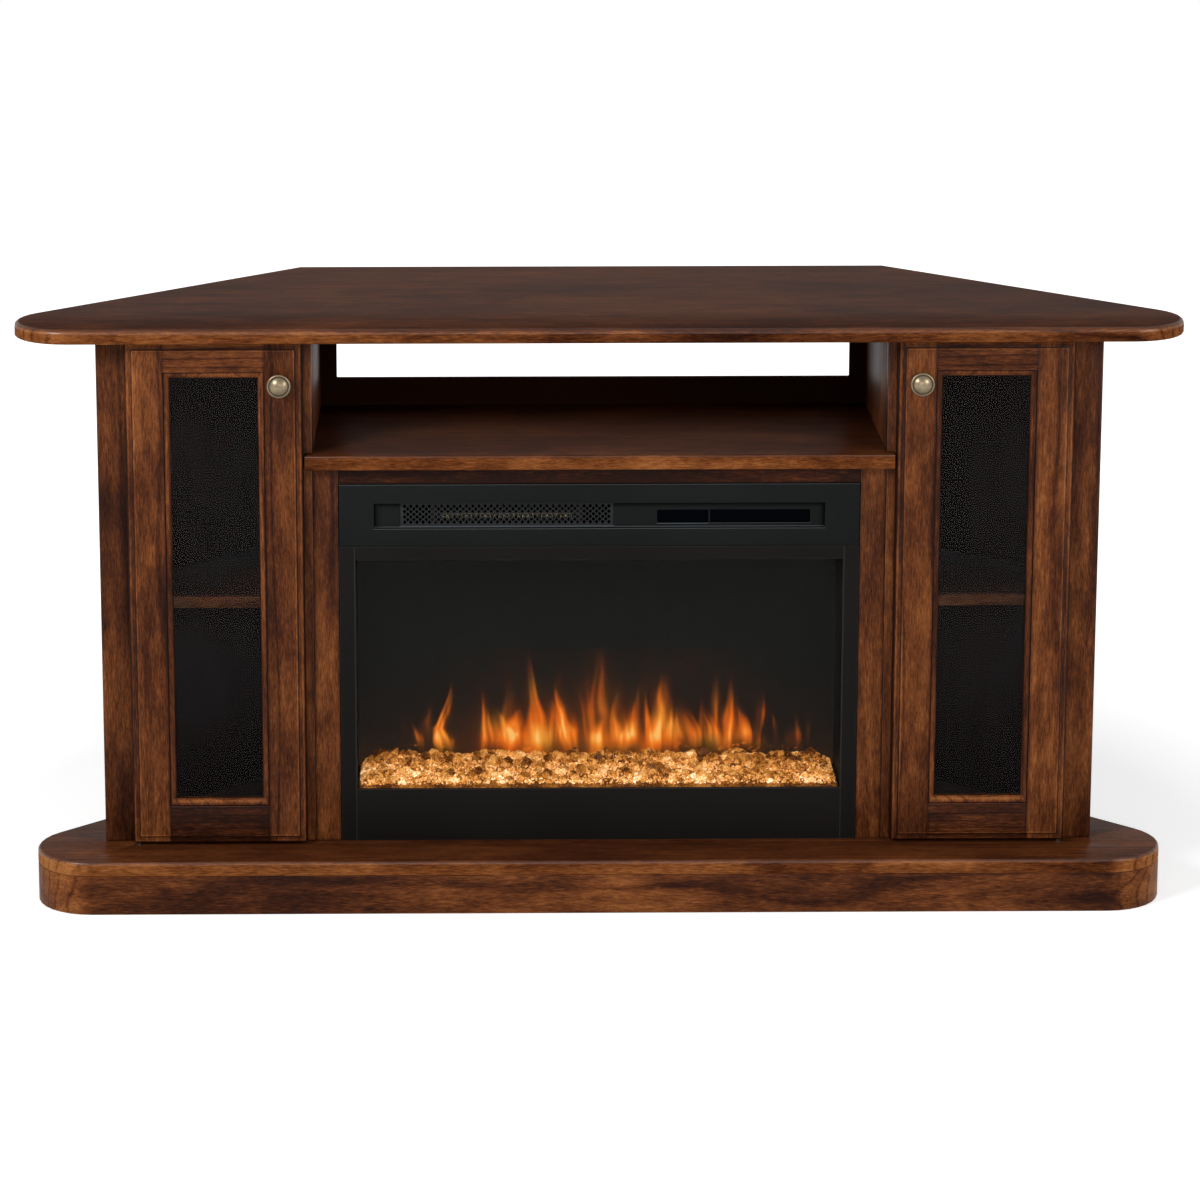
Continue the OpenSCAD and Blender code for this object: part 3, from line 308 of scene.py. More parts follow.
for kind in ("Is Glossy Ray", "Is Transmission Ray"):
    seen = seen.larger(pale.node("LightPath", out=kind))
extra = pale.node("MixShader", {0: seen, 1: none, 2: glow})
pale.show(pale.node("AddShader", {0: lit, 1: extra}))
floor.data.materials.append(pale.material)
print("floor", [round(v, 1) for v in floor.dimensions])

# %% [markdown]
# ## Stained hardwood
#
# The boards are a close-grained wood under a dark reddish stain and a satin lacquer. Such wood
# takes stain in clouds, so amber patches lie among dark ones, and over them run soft streaks
# along the grain, thin arched growth lines and very fine pores. All of these are noise in the
# solid itself, drawn out along the grain, so that end grain appears where a board is cut
# across. Each board gets its own offset, as each comes from another plank.

# %% Grain, outline and growth lines
GRAIN = {"x": (0.13, 1, 1), "z": (1, 1, 0.13)}
# Within this reach of the outline the wood is darker: partly stain at the edge, partly painted
# shade in the seams between boards
EDGE_REACH = 0.0035


def edge_share(wood, board):
    """1 at the board's outline and 0 from a few millimetres inside it."""
    low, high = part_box(board)
    thin = min(range(3), key=lambda axis: high[axis] - low[axis])
    room = wood.room(low, high, [axis for axis in range(3) if axis != thin])
    return (1 - room / EDGE_REACH).clamped() ** 1.5


def growth_lines(wood, board, along, dice):
    """Rings of a trunk whose heart lies behind the board, so that its face shows arches."""
    low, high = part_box(board)
    scale = GRAIN[along]
    heart = (low + high) / 2 + Vector((dice.uniform(-0.02, 0.02), 0.07, dice.uniform(-0.02, 0.02)))
    spot = wood.stretched(scale, tuple(-h * k for h, k in zip(heart, scale)))
    rings = wood.node("TexWave", {
        "Vector": spot, "Scale": 30.0, "Distortion": 9.0, "Detail": 1.5, "Detail Scale": 0.42,
        "Detail Roughness": 0.5}, out="Fac", wave_type="RINGS", rings_direction=along.upper())
    return (1 - rings) ** 12.0


print("stain gathers within", EDGE_REACH, "m of a board's outline")

# %% [markdown]
# ## Level tops, rolled edges and backs, with painted shade and highlight
#
# The stain lies evenly on a level top, and the top is darker than its edge as painted shade.
# The rolled edge under it gets a glossier coat and a painted highlight. The backs are stained
# outside and nearly black inside, as painted shade for the dim inside of the cabinet. A mask
# painted by hand could mark these places. One worked out from the board's own box still fits
# when the board changes.


# %% Masks of a board
def top_share(wood, board):
    """1 on the level top of a board, and 0 from four millimetres below it."""
    return ((wood.along("Z") - (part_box(board)[1].z - 0.004)) / 0.003).clamped()


def rolled_share(wood, board, radius):
    """1 on the rolled edge under the level top, which gets a glossier coat and a painted
    highlight.
    """
    top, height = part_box(board)[1].z, wood.along("Z")
    return ((top - height) / 0.0006).clamped() * ((height - (top - radius)) / 0.002).clamped()


def inner_share(wood, board):
    """1 on the face of a back board that looks into the cabinet and 0 on its rear."""
    places = [v.co for v in nodes[board].data.vertices]
    if board == "back_panel":
        depth, rear = wood.along("Y"), max(v.y for v in places)
    else:
        # A corner back faces the wall at 45 degrees
        depth = wood.along("X").size() + wood.along("Y")
        rear = max(abs(v.x) + v.y for v in places)
    return ((rear - 0.006 - depth) / 0.002).clamped()


BACK_BOARDS = ["back_panel", "left_corner_back", "right_corner_back"]
print("black inside", BACK_BOARDS)

# %% [markdown]
# ## Lines of the moulded doors
#
# A door has a stepped quarter-round edge and a glazing bead. Dark lines in the gaps round the
# door and its bead and in the step are painted shade, and pale lines on the round and on the arris
# beside the step are painted highlight, as is the pale foot of the bead. The steps themselves are
# solid. The lines could be drawn on an unwrapped surface, but their distance from the door's
# outline places them more simply.

# %% Dark and pale lines
BEAD_WIDTH = 0.009


def line_at(distance, place, half):
    """1 at one distance from the outline, fading to 0 on both sides of it."""
    return (1 - (distance - place).size() / half).clamped()


def painted_door_lines(wood, board):
    """Painted shade in the gaps and the step of the moulded edge, and painted highlight on the
    round, the arris and the bead's foot.
    """
    if board.endswith("_bead"):
        low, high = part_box(board)
        distance = wood.room(low, high, (0, 2))
        # The foot of the bead faces up and gets a painted highlight
        foot = ((low.z + 0.010 - wood.along("Z")) / 0.001).clamped()
        return (line_at(distance, 0.0, 0.0020) * 0.34
                + line_at(distance, BEAD_WIDTH, 0.0020) * (1 - foot) * 0.34 + 0.06
                - line_at(distance, 0.0062, 0.0030) * foot * 0.16)
    door = board.split("_door_")[0] + "_door_"
    stiles = [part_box(door + part) for part in ("hinge_stile", "knob_stile")]
    low = Vector(min(values) for values in zip(*(s[0] for s in stiles)))
    high = Vector(max(values) for values in zip(*(s[1] for s in stiles)))
    distance = wood.room(low, high, (0, 2))
    return (line_at(distance, 0.0, 0.0022) * 0.34 + line_at(distance, 0.0088, 0.0012) * 0.34
            + line_at(distance, 0.006, 0.003) * 0.07 - line_at(distance, 0.0105, 0.0012) * 0.12
            - line_at(distance, 0.0032, 0.0016) * 0.08)


print("glazing bead", BEAD_WIDTH, "m wide")

# %% [markdown]
# ## From tone to colour
#
# All layers of the wood add up to one tone, and a ramp turns that tone into a colour between
# nearly black and amber. One number is easier to judge than a mix of many colours. Each board
# then has a shade of its own, as each was cut from another plank. The top rail of the surround is
# darker still, as painted shadow under the shelf.

# %% Stain one board
STAIN = ((0.24, paint(30, 13, 7)), (0.39, paint(58, 28, 14)), (0.52, paint(88, 47, 23)),
         (0.67, paint(124, 73, 37)), (0.86, paint(160, 106, 60)))


def stained_wood(name, board, along, number, shade, gloss, level=None):
    """Level is how much darker the level top is as painted shade, the radius of its rolled edge
    and its lacquer.
    """
    wood = Finish(name)
    dice = random.Random(number)
    offset = tuple(dice.uniform(-9, 9) for _ in range(3))
    fibre = GRAIN[along]
    cloud_scale = tuple(min(1, 3.0 * s) for s in fibre)
    patches = wood.noise(wood.stretched(cloud_scale, offset), 7, 2, 0.5, 0.6)
    clouds = wood.noise(wood.stretched(cloud_scale, offset), 24, 3, 0.6, 0.6)
    streaks = wood.noise(wood.stretched(fibre, offset), 95, 3, 0.65, 0.1)
    pores = wood.noise(wood.stretched(fibre, offset), 560, 3, 0.8)
    tone = patches * 0.58 + clouds * 0.40 + streaks * 0.34 + pores * 0.66 - 0.48 - shade
    tone = tone - growth_lines(wood, board, along, dice) * 0.13
    # Darker near the outline: partly stain gathered at the edge, partly painted shade in the seams
    tone = tone - edge_share(wood, board) * 0.14
    extra, rough, strength = {}, 0.36 + pores * 0.12, 0.25
    # Painted shade and highlight along the moulded edges of the doors
    if "_door_" in board:
        tone = tone - painted_door_lines(wood, board)
    if board == "left_door_rails":
        # The rail at the foot of this door is darker
        tone = tone - ((0.3 - wood.along("Z")) / 0.1).clamped() * 0.13
    if board in BACK_BOARDS:
        # The inside face of a back is nearly black: painted shade for the dim inside of the
        # cabinet
        tone = tone - inner_share(wood, board) * 0.6
        rough, strength = 0.7, 0.0
    if level:
        darker, radius, lacquer = level
        even = top_share(wood, board)
        # The stain is evened out on the level top, and the top is darker there as painted shade
        tone = tone * (1 - even * 0.4) + even * (0.2 - darker)
        # A painted highlight along the rolled edge, which also gets a glossier coat
        tone = tone + rolled_share(wood, board, radius) * 0.04
        extra = {"Coat_Weight": rolled_share(wood, board, radius) * 0.5 + even * lacquer,
                 "Coat_Roughness": 0.28}
    height = pores * 0.7 + streaks * 0.3
    return wood.surface(
        Base_Color=wood.ramp(tone, *STAIN), Roughness=rough, Specular_IOR_Level=gloss,
        Normal=wood.bump(height, 0.00025, strength), **extra)


print("tones of the stain", len(STAIN))


# %% Stain every board
def both(*parts):
    return [side + "_" + part for part in parts for side in ("left", "right")]


ACROSS = ["top_board", "hearth_board", "base_apron", "base_bearers", "back_panel",
          "face_rails", *both("tower_shelf"), "media_shelf", "surround_top_rail",
          *both("door_rails")]
UPRIGHT = [*both("inner_panel", "outer_panel", "corner_back", "outer_stile", "inner_stile"),
           "surround_left_stile", "surround_right_stile", "left_door_hinge_stile",
           "left_door_knob_stile", "right_door_hinge_stile", "right_door_knob_stile",
           *both("door_bead")]
# The top rail of the surround is darker as painted shadow under the shelf's nose
SHADES = {"top_board": -0.13, "hearth_board": -0.25, "media_shelf": -0.18,
          "base_apron": -0.10, "back_panel": 0.06, "base_bearers": 0.12,
          "left_corner_back": 0.08, "right_corner_back": 0.08, "surround_top_rail": 0.22,
          "surround_right_stile": -0.03, "left_outer_stile": 0.08, "right_outer_stile": 0.08,
          "left_outer_panel": 0.10, "right_outer_panel": 0.10, "left_door_knob_stile": 0.02,
          "right_door_knob_stile": 0.06, "left_tower_shelf": -0.2, "right_tower_shelf": -0.2,
          "left_door_rails": 0.07, "right_door_rails": 0.07}
# How much darker the level top is than its edge as painted shade, the edge's radius, and the
# lacquer on the top
LEVEL = {"top_board": (0.14, 0.007, 0.0), "hearth_board": (0.18, 0.005, 0.12),
         "media_shelf": (0.11, 0.003, 0.05), "left_tower_shelf": (0.32, 0.0025, 0.0),
         "right_tower_shelf": (0.32, 0.0025, 0.0)}
wood_finishes, worn_highlit_edges = {}, {}
for number, name in enumerate(ACROSS + UPRIGHT, start=7):
    along = "x" if name in ACROSS else "z"
    shade = SHADES.get(name, 0.0)
    gloss = 0.003 if name in LEVEL or name in BACK_BOARDS else 0.05
    wood_finishes[name] = stained_wood(
        "stain_" + name, name, along, number, shade, gloss, LEVEL.get(name))
    # Eased edges of stiles and door rails get a lighter, glossier finish: partly wear, partly
    # painted highlight
    if name.endswith("_stile") or name.endswith("door_rails"):
        worn_highlit_edges[name] = stained_wood(
            "rubbed_" + name, name, along, number, shade - 0.05, 0.2)
print("wooden pieces", len(wood_finishes))

# %% [markdown]
# ## Painted steel
#
# The insert's front is folded sheet under a matt black powder coat, which has a very fine
# orange-peel surface. That surface is far too fine to model, so a noise bumps it. Inside the
# slot the coat is darker under the top and at the ends as painted shadow, which is a mask on its
# place as before.


# %% Powder coats
def powder_coat(name, colour, peel=0.12, gloss=0.03):
    coat = Finish(name)
    grain = coat.noise(coat.place, 900, 2)
    cloud = coat.noise(coat.place, 5, 2)
    tint = coat.ramp(cloud, (0.3, tuple(0.8 * c for c in colour)), (0.7, colour))
    return coat.surface(Base_Color=tint, Roughness=0.42 + cloud * 0.12,
                        Normal=coat.bump(grain, 0.0001, peel), Specular_IOR_Level=gloss)


# The recess of the fascia that holds the grille and the display, from its face inwards
SLOT_LOW = Vector((-0.2905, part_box("fascia")[0].y + 0.0012, 0.4915))
SLOT_HIGH = Vector((0.2905, -0.1450, 0.5240))
print("slot recess from", round(SLOT_LOW.y, 4))


def fascia_coat(name, colour):
    """The same coat, with painted shadow under the top and at the ends of the slot."""
    coat = Finish(name)
    grain = coat.noise(coat.place, 900, 2)
    cloud = coat.noise(coat.place, 5, 2)
    below = ((coat.along("Z") - (SLOT_HIGH.z - 0.007)) / 0.006).clamped()
    ends = ((coat.along("X").size() - (SLOT_HIGH.x - 0.004)) / 0.003).clamped()
    slot_shadow = below.larger(ends) * ((coat.along("Y") - SLOT_LOW.y) / 0.001).clamped()
    tint = coat.ramp((cloud * 0.5 + 0.5) * (1 - slot_shadow), (0.0, tuple(0.12 * c for c in colour)),
                     (0.65, tuple(0.8 * c for c in colour)), (0.85, colour))
    return coat.surface(Base_Color=tint, Roughness=0.42 + cloud * 0.12,
                        Normal=coat.bump(grain, 0.0001, 0.12), Specular_IOR_Level=0.02)


# %% [markdown]
# ## Heating element, zinc, pewter and panes
#
# The element's dim glow through the grille is painted as a beige band, not lit. Zinc shows a
# faint spangle, for which Voronoi cells of slightly different gloss are enough. The knobs are
# pewter, darker where polish never reaches. Panes let light straight through with a tint and
# reflect a little by their Fresnel share, which is quicker than true refraction.

# %% Element, zinc and casing
WIRE_HEIGHT = 0.5035


def element_plate(name):
    """Dark fins, with a painted glow as a paler band along their middle, where the heating wire
    runs.
    """
    fin = Finish(name)
    fine = fin.noise(fin.place, 260, 2)
    band = (1 - (fin.along("Z") - WIRE_HEIGHT).size() / 0.0046).clamped()
    band = band * ((fin.room(*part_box("heater_element"), (0,)) - 0.010) / 0.002).clamped()
    tint = fin.ramp(band * 0.8 + fine * 0.25, (0.05, paint(15, 13, 11)),
                    (0.30, paint(40, 35, 28)), (0.80, paint(244, 222, 180)))
    return fin.surface(Base_Color=tint, Roughness=0.5 - fine * 0.1, Specular_IOR_Level=0.1)


def zinc_plate(name, light=(0.62, 0.64, 0.66)):
    plate = Finish(name)
    cells = plate.node("TexVoronoi", {"Vector": plate.place, "Scale": 160.0}, out="Color")
    pick = plate.node("SeparateColor", {0: cells})
    tint = plate.ramp(pick, (0.0, tuple(0.82 * c for c in light)), (1.0, light))
    return plate.surface(Base_Color=tint, Metallic=0.9, Roughness=0.34 + pick * 0.14)


def sprayed_casing():
    """Zinc-plated sheet, black where it is seen beside the fascia, and black inside as painted
    shade.
    """
    sheet = Finish("sprayed_casing")
    cells = sheet.node("TexVoronoi", {"Vector": sheet.place, "Scale": 160.0}, out="Color")
    pick = sheet.node("SeparateColor", {0: cells})
    outside = ((0.0012 - sheet.room(*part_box("insert_casing"), range(3))) / 0.0004).clamped()
    bare = outside * ((sheet.along("Y") + 0.02) / 0.02).clamped()
    tint = sheet.ramp(bare * (0.9 + pick * 0.1), (0.0, paint(10, 10, 10)),
                      (0.9, (0.43, 0.44, 0.46)), (1.0, (0.54, 0.56, 0.58)))
    return sheet.surface(Base_Color=tint, Metallic=bare * 0.9, Roughness=0.5 - bare * 0.1,
                         Specular_IOR_Level=0.05)


print("wire at", WIRE_HEIGHT, "m")


# %% Pewter, plastics and panes
def old_pewter(knob):
    """Rubbed bright on the dome and the rim, and left dark in the groove between them."""
    metal = Finish("pewter_" + knob)
    low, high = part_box(knob)
    middle, radius = (low + high) / 2, (high.x - low.x) / 2
    flat = metal.node("Mapping", {"Vector": metal.place, "Scale": (1, 0, 1),
                                  "Location": (-middle.x, 0, -middle.z)})
    away = metal.node("VectorMath", {0: flat}, out="Value", operation="LENGTH") / radius
    groove = (1 - (away - 0.80).size() / 0.11).clamped()
    wear = metal.noise(metal.place, 900, 2)
    blotch = metal.noise(metal.place, 120, 2)
    tint = metal.ramp(wear * 0.25 + blotch * 0.25 + 0.35 - groove * 0.5,
                      (0.10, paint(32, 26, 19)), (0.45, paint(92, 80, 62)),
                      (0.75, paint(140, 125, 101)))
    return metal.surface(Base_Color=tint, Metallic=0.9, Roughness=0.33 + groove * 0.3,
                         Normal=metal.bump(wear, 0.0001, 0.06))


def moulding(name, colour, rough=0.5, grain=500, gloss=0.2):
    plastic = Finish(name)
    fine = plastic.noise(plastic.place, grain, 2)
    tint = plastic.ramp(fine, (0.2, tuple(0.88 * c for c in colour)), (0.8, colour))
    return plastic.surface(Base_Color=tint, Roughness=rough + fine * 0.08,
                           Normal=plastic.bump(fine, 0.0001, 0.1), Specular_IOR_Level=gloss)


def pane(name, tint, index, roughness=0.03):
    glass = Finish(name)
    smear = glass.noise(glass.place, 7, 3)
    through = glass.node("BsdfTransparent", {"Color": glass.ramp(
        smear, (0.2, tuple(0.97 * c for c in tint)), (0.8, tint))})
    mirror = glass.node("BsdfGlossy", {"Color": (1, 1, 1, 1), "Roughness": roughness})
    share = glass.node("Fresnel", {"IOR": index})
    return glass.show(glass.node("MixShader", {0: share, 1: through, 2: mirror}))


# %% Mix the finishes
fascia_steel = fascia_coat("fascia_powder_coat", paint(25, 27, 26))
grille_steel = powder_coat("grille_coat", paint(41, 42, 43), 0.1, 0.05)
inner_steel = powder_coat("heat_box_black", paint(10, 10, 10), 0.1, 0.01)
# A lighter coat for eased edges, as painted highlight
edge_highlight_coat = powder_coat("coat_on_the_edges", paint(68, 72, 75), 0.12, 0.1)
# A lighter coat for the frame's eased edges, as painted highlight
frame_edge_highlight = powder_coat("coat_on_frame_edges", paint(52, 51, 50), 0.12, 0.06)
frame_steel = powder_coat("frame_powder_coat", paint(25, 23, 22), 0.12, 0.02)
# Near black, as painted shade inside the slot
slot_shade_steel = powder_coat("coat_in_the_slot", paint(6, 6, 6), 0.1, 0.005)
liner_steel = powder_coat("liner_black", paint(18, 17, 16), 0.12, 0.01)
zinc = zinc_plate("zinc_plate")
casing_finish = sprayed_casing()
fins = element_plate("element_fins")
bright_steel = zinc_plate("bright_steel", paint(196, 190, 180))
dark_steel = zinc_plate("burnished_steel", paint(74, 66, 58))
brass = zinc_plate("bush_brass", (0.26, 0.18, 0.08))
black_plastic = moulding("black_plastic", paint(26, 26, 27))
white_plastic = moulding("white_plastic", paint(214, 213, 208))
board_green = moulding("board_green", paint(22, 74, 40), 0.35, 120)
window_black = moulding("window_black", paint(2, 3, 6), 0.12, 60, 0.004)
door_pane = pane("tinted_pane", (0.77, 0.77, 0.79), 1.13)
fire_pane = pane("clear_pane", (0.97, 0.97, 0.96), 1.08, 0.01)
print("finishes", len(bpy.data.materials))

# %% [markdown]
# ## Eased edges
#
# A board is never as sharp as its solid. The planer and the sandpaper leave an edge of half a
# millimetre that catches the light, and a folded sheet bends round a small radius. So the
# visible boards and sheets are copies of the solids with their doubles merged, their flat
# faces joined and a narrow bevel along each sharp edge. The solid stays hidden beneath.


# %% Helpers for pieces
def body_of(name):
    return nodes[name].parent.name.split(":")[1]


def deselect_all():
    if bpy.context.object and bpy.context.object.mode != "OBJECT":
        bpy.ops.object.mode_set(mode="OBJECT")
    bpy.ops.object.select_all(action="DESELECT")


def pick_only(piece):
    deselect_all()
    piece.select_set(True)
    bpy.context.view_layer.objects.active = piece


def repaint(piece, finish):
    piece.data.materials.clear()
    piece.data.materials.append(finish)


def dress(piece, finish, body="console", smooth=30):
    repaint(piece, finish)
    pick_only(piece)
    if smooth:
        bpy.ops.object.shade_smooth_by_angle(angle=math.radians(smooth))
    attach(piece, body)
    deselect_all()


SHARP = math.radians(30)


def apply_bevel(piece, width, edge_slot):
    bevel = piece.modifiers.new("eased", "BEVEL")
    bevel.material = edge_slot
    bevel.width, bevel.segments = width, 2
    bevel.limit_method, bevel.angle_limit = "ANGLE", SHARP
    bevel.use_clamp_overlap = True
    pick_only(piece)
    bpy.ops.object.modifier_apply(modifier=bevel.name)


def face_area(piece):
    piece.data.calc_loop_triangles()
    return sum(triangle.area for triangle in piece.data.loop_triangles)


def joined_copy(name, way):
    """A merged copy of a solid whose flat faces are joined from their triangles."""
    piece = bpy.data.objects.new(name + "_eased", nodes[name].data.copy())
    bpy.context.scene.collection.objects.link(piece)
    pick_only(piece)
    bpy.ops.object.mode_set(mode="EDIT")
    bpy.ops.mesh.select_all(action="SELECT")
    bpy.ops.mesh.remove_doubles(threshold=0.00001)
    if way == "whole faces":
        bpy.ops.mesh.dissolve_limited(angle_limit=math.radians(0.5))
    else:
        bpy.ops.mesh.tris_convert_to_quads(
            face_threshold=math.radians(0.5), shape_threshold=math.radians(179))
    bpy.ops.object.mode_set(mode="OBJECT")
    return piece


def eased(name, finish, width, edges=None, up_only=False):
    """A bevelled copy in place of a solid. Up_only paints just the edges that face up."""
    for way in ("whole faces", "four-sided faces"):
        piece = joined_copy(name, way)
        repaint(piece, finish)
        piece.data.materials.append(finish)
        apply_bevel(piece, width, edge_slot=1 if edges else -1)
        if abs(face_area(piece) / face_area(nodes[name]) - 1) < 0.05:
            break
        # One polygon can't go round a hole, so a frame keeps its four-sided faces
        bpy.data.objects.remove(piece)
    if edges:
        piece.data.materials[1] = edges
        for face in piece.data.polygons:
            if up_only and face.normal.z < 0.3:
                face.material_index = 0
    else:
        piece.data.materials.pop(index=1)
    pick_only(piece)
    bpy.ops.object.shade_smooth_by_angle(angle=SHARP)
    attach(piece, body_of(name))
    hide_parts(name)
    deselect_all()
    return piece


# %% Ease the boards and the insert's front
WIDE_EDGES = ["media_shelf", "base_apron", "hearth_board", "left_outer_stile",
              "right_outer_stile", "left_inner_stile", "right_inner_stile"]
eased_pieces = []
for name, finish in wood_finishes.items():
    if name == "base_bearers":
        repaint(nodes[name], finish)
        continue
    width = 0.0016 if name in WIDE_EDGES else 0.0008
    eased_pieces.append(eased(name, finish, width, worn_highlit_edges.get(name)))
# The fascia's up-facing edges get the lighter coat as painted highlight
fascia = eased("fascia", fascia_steel, 0.0008, edge_highlight_coat, up_only=True)
# All edges of the front frame get the lighter coat as painted highlight
eased_pieces += [fascia, eased("front_frame", frame_steel, 0.0006, frame_edge_highlight)]
# The walls and ceiling of the slot get the near-black coat as painted shade in the recess
fascia.data.materials.append(slot_shade_steel)
NEAR = 0.0005
for face in fascia.data.polygons:
    inside = all(low - NEAR < place < high + NEAR
                 for low, place, high in zip(SLOT_LOW, face.center, SLOT_HIGH))
    if inside and face.normal.z < 0.5 and face.normal.y > -0.5:
        face.material_index = len(fascia.data.materials) - 1
print("eased pieces", len(eased_pieces))

# %% [markdown]
# ## Pieces that stay as they are
#
# Turned, moulded and hidden pieces are already as fine as the real ones need to be, so they
# keep their solids and only get a finish.

# %% Finishes of the plain solids
PLAIN = {
    "shelf_pins": zinc, "pivot_bushes": brass, "door_catches": black_plastic,
    "display_lens": window_black, "control_board": board_green, "heater_grille": grille_steel,
    "heater_element": fins, "blower_housing": inner_steel, "blower_wheel": black_plastic,
    "blower_motor": inner_steel, "front_glass": fire_pane, "insert_casing": casing_finish,
    "chamber_liner": liner_steel, "ember_tray": black_plastic, "flicker_rod": bright_steel,
    "rod_bearings": white_plastic, "flicker_motor": zinc, "light_bar": white_plastic,
    "power_inlet": black_plastic, "insert_brackets": zinc,
    "left_door_glass": door_pane, "right_door_glass": door_pane,
    "left_door_knob": old_pewter("left_door_knob"),
    "right_door_knob": old_pewter("right_door_knob"),
    "left_door_fittings": dark_steel, "right_door_fittings": dark_steel,
}
for name, finish in PLAIN.items():
    repaint(nodes[name], finish)
print("plain finishes", len(PLAIN))

# %% [markdown]
# ## Screws at the back
#
# The thin back boards are screwed to the panels, and the rear wall of the insert is screwed to
# its casing. One pan-head screw is modelled: a short cylinder whose upper rim is rolled by a
# bevel, with a cross cut into it by two crossed bars. Its copies are turned to face outwards.

# %% One pan head
HEAD_HEIGHT = 0.0018
deselect_all()
bpy.ops.mesh.primitive_cylinder_add(vertices=20, radius=0.0040, depth=HEAD_HEIGHT)
pan_head = bpy.context.object
pan_head.name = "pan_head"
bpy.ops.object.mode_set(mode="EDIT")
bpy.ops.mesh.select_mode(type="EDGE")
bpy.ops.mesh.select_all(action="DESELECT")
bpy.ops.object.mode_set(mode="OBJECT")
for edge in pan_head.data.edges:
    edge.select = all(pan_head.data.vertices[i].co.z > 0.0008 for i in edge.vertices)
bpy.ops.object.mode_set(mode="EDIT")
bpy.ops.mesh.bevel(offset=0.0011, segments=3, affect="EDGES")
bpy.ops.object.mode_set(mode="OBJECT")
for turn in (0, 90):
    deselect_all()
    bpy.ops.mesh.primitive_cube_add(size=1)
    bar = bpy.context.object
    bar.data.transform(Matrix.Rotation(math.radians(turn), 4, "Z")
                       @ Matrix.Translation((0, 0, HEAD_HEIGHT / 2))
                       @ Matrix.Diagonal((0.0042, 0.0008, 0.0014, 1)))
    cut = pan_head.modifiers.new("cross", "BOOLEAN")
    cut.operation, cut.object, cut.solver = "DIFFERENCE", bar, "EXACT"
    pick_only(pan_head)
    bpy.ops.object.modifier_apply(modifier=cut.name)
    bpy.data.objects.remove(bar)
print("pan head faces", len(pan_head.data.polygons))

# %% Screw the backs on
panel_low, panel_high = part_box("back_panel")
casing_low, casing_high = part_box("insert_casing")
corner_low, corner_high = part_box("right_corner_back")
# The face of the corner back lies where x + y is this
wall = max(v.co.x + v.co.y for v in nodes["right_corner_back"].data.vertices)
screws = []
for side in (-1, 1):
    for height in np.linspace(panel_low.z + 0.03, panel_high.z - 0.03, 6):
        screws.append(((side * (panel_high.x - 0.012), panel_high.y, height), (0, 1, 0)))
        for across in (corner_low.x + 0.022, corner_high.x - 0.030):
            screws.append(((side * across, wall - across, height), (side, 1, 0)))
    for height in (0.150, 0.315, 0.480):
        screws.append(((side * 0.262, casing_high.y, height), (0, 1, 0)))
for across in (-0.18, 0.0, 0.18):
    screws.append(((across, panel_high.y, panel_high.z - 0.014), (0, 1, 0)))
    screws.append(((across, panel_high.y, panel_low.z + 0.014), (0, 1, 0)))
deselect_all()
screw_dice = random.Random(4)
PROUD = 0.0006
for place, outwards in screws:
    head = bpy.data.objects.new("back_screw", pan_head.data.copy())
    bpy.context.scene.collection.objects.link(head)
    way = Vector(outwards).normalized()
    aim = way.to_track_quat("Z", "Y").to_matrix().to_4x4()
    spin = Matrix.Rotation(screw_dice.uniform(0, 3), 4, "Z")
    head.data.transform(Matrix.Translation(Vector(place) + way * PROUD) @ aim @ spin)
    head.select_set(True)
    bpy.context.view_layer.objects.active = head
bpy.ops.object.join()
back_screws = bpy.context.object
back_screws.name = "back_screws"
bpy.data.objects.remove(pan_head)
dress(back_screws, zinc, smooth=35)
print("screws", len(screws), "faces", len(back_screws.data.polygons))

# %% [markdown]
# ## Flame screen and flame picture
#
# Behind the glass bed stands a dark, half-mirrored screen. A turning rod throws moving light on
# it from behind, and that light is what the eye takes for flames. The picture here is one fine
# sheet just in front of the screen. Its brightness at each point is worked out from a list of
# tongues, each with a bent centre line, a width that tapers to its tip, and a strength. It is
# stored on the points of the mesh, and the finish turns brightness into the colour of flame.

# %% Flame tongues
screen_low, screen_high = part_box("flame_screen")
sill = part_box("ember_bed")[0].z
# Each tongue: its strength, then (x, z, half width) from its root to its tip, in metres
TONGUES = []


def screen_point(column, row):
    """Where the line of sight through a picture point meets the screen."""
    side, above, back = look_axes(camera_yaw, camera_pitch, camera_roll)
    ray = (side * ((column - centre_column) / focal_pixels)
           - above * ((row - centre_row) / focal_pixels) - back)
    reach = (screen_low.y - camera_place.y) / ray.y
    return camera_place + ray * reach


def tongue(strength, *points):
    """Points are (column, row, half width) as seen in a picture of 1200 pixels."""
    line = []
    for column, row, half in points:
        spot = screen_point(column, row)
        line.append((spot.x, spot.z, half * (spot - camera_place).length / focal_pixels))
    TONGUES.append((strength, line))


tongue(0.42, (421, 756, 5), (418, 738, 5), (410, 718, 2))
tongue(0.66, (428, 738, 3), (427, 722, 3), (430, 700, 1))
tongue(0.95, (448, 760, 9), (444, 742, 8), (439, 728, 6), (446, 712, 4), (451, 680, 1))
tongue(0.60, (486, 756, 8), (487, 735, 6), (487, 715, 5), (480, 687, 1))
tongue(1.00, (506, 758, 9), (507, 734, 10), (500, 718, 7), (495, 706, 2))
tongue(0.70, (508, 740, 8), (515, 722, 6), (520, 708, 2))
tongue(0.25, (508, 735, 6), (508, 700, 5), (507, 668, 2))
tongue(0.95, (536, 760, 13), (534, 735, 12), (533, 722, 8), (534, 700, 3))
tongue(0.55, (536, 735, 8), (535, 700, 4), (531, 670, 3), (526, 645, 1))
tongue(0.85, (574, 756, 6), (566, 730, 9), (558, 715, 7), (552, 700, 2))
tongue(0.55, (568, 735, 8), (560, 705, 6), (556, 682, 2))
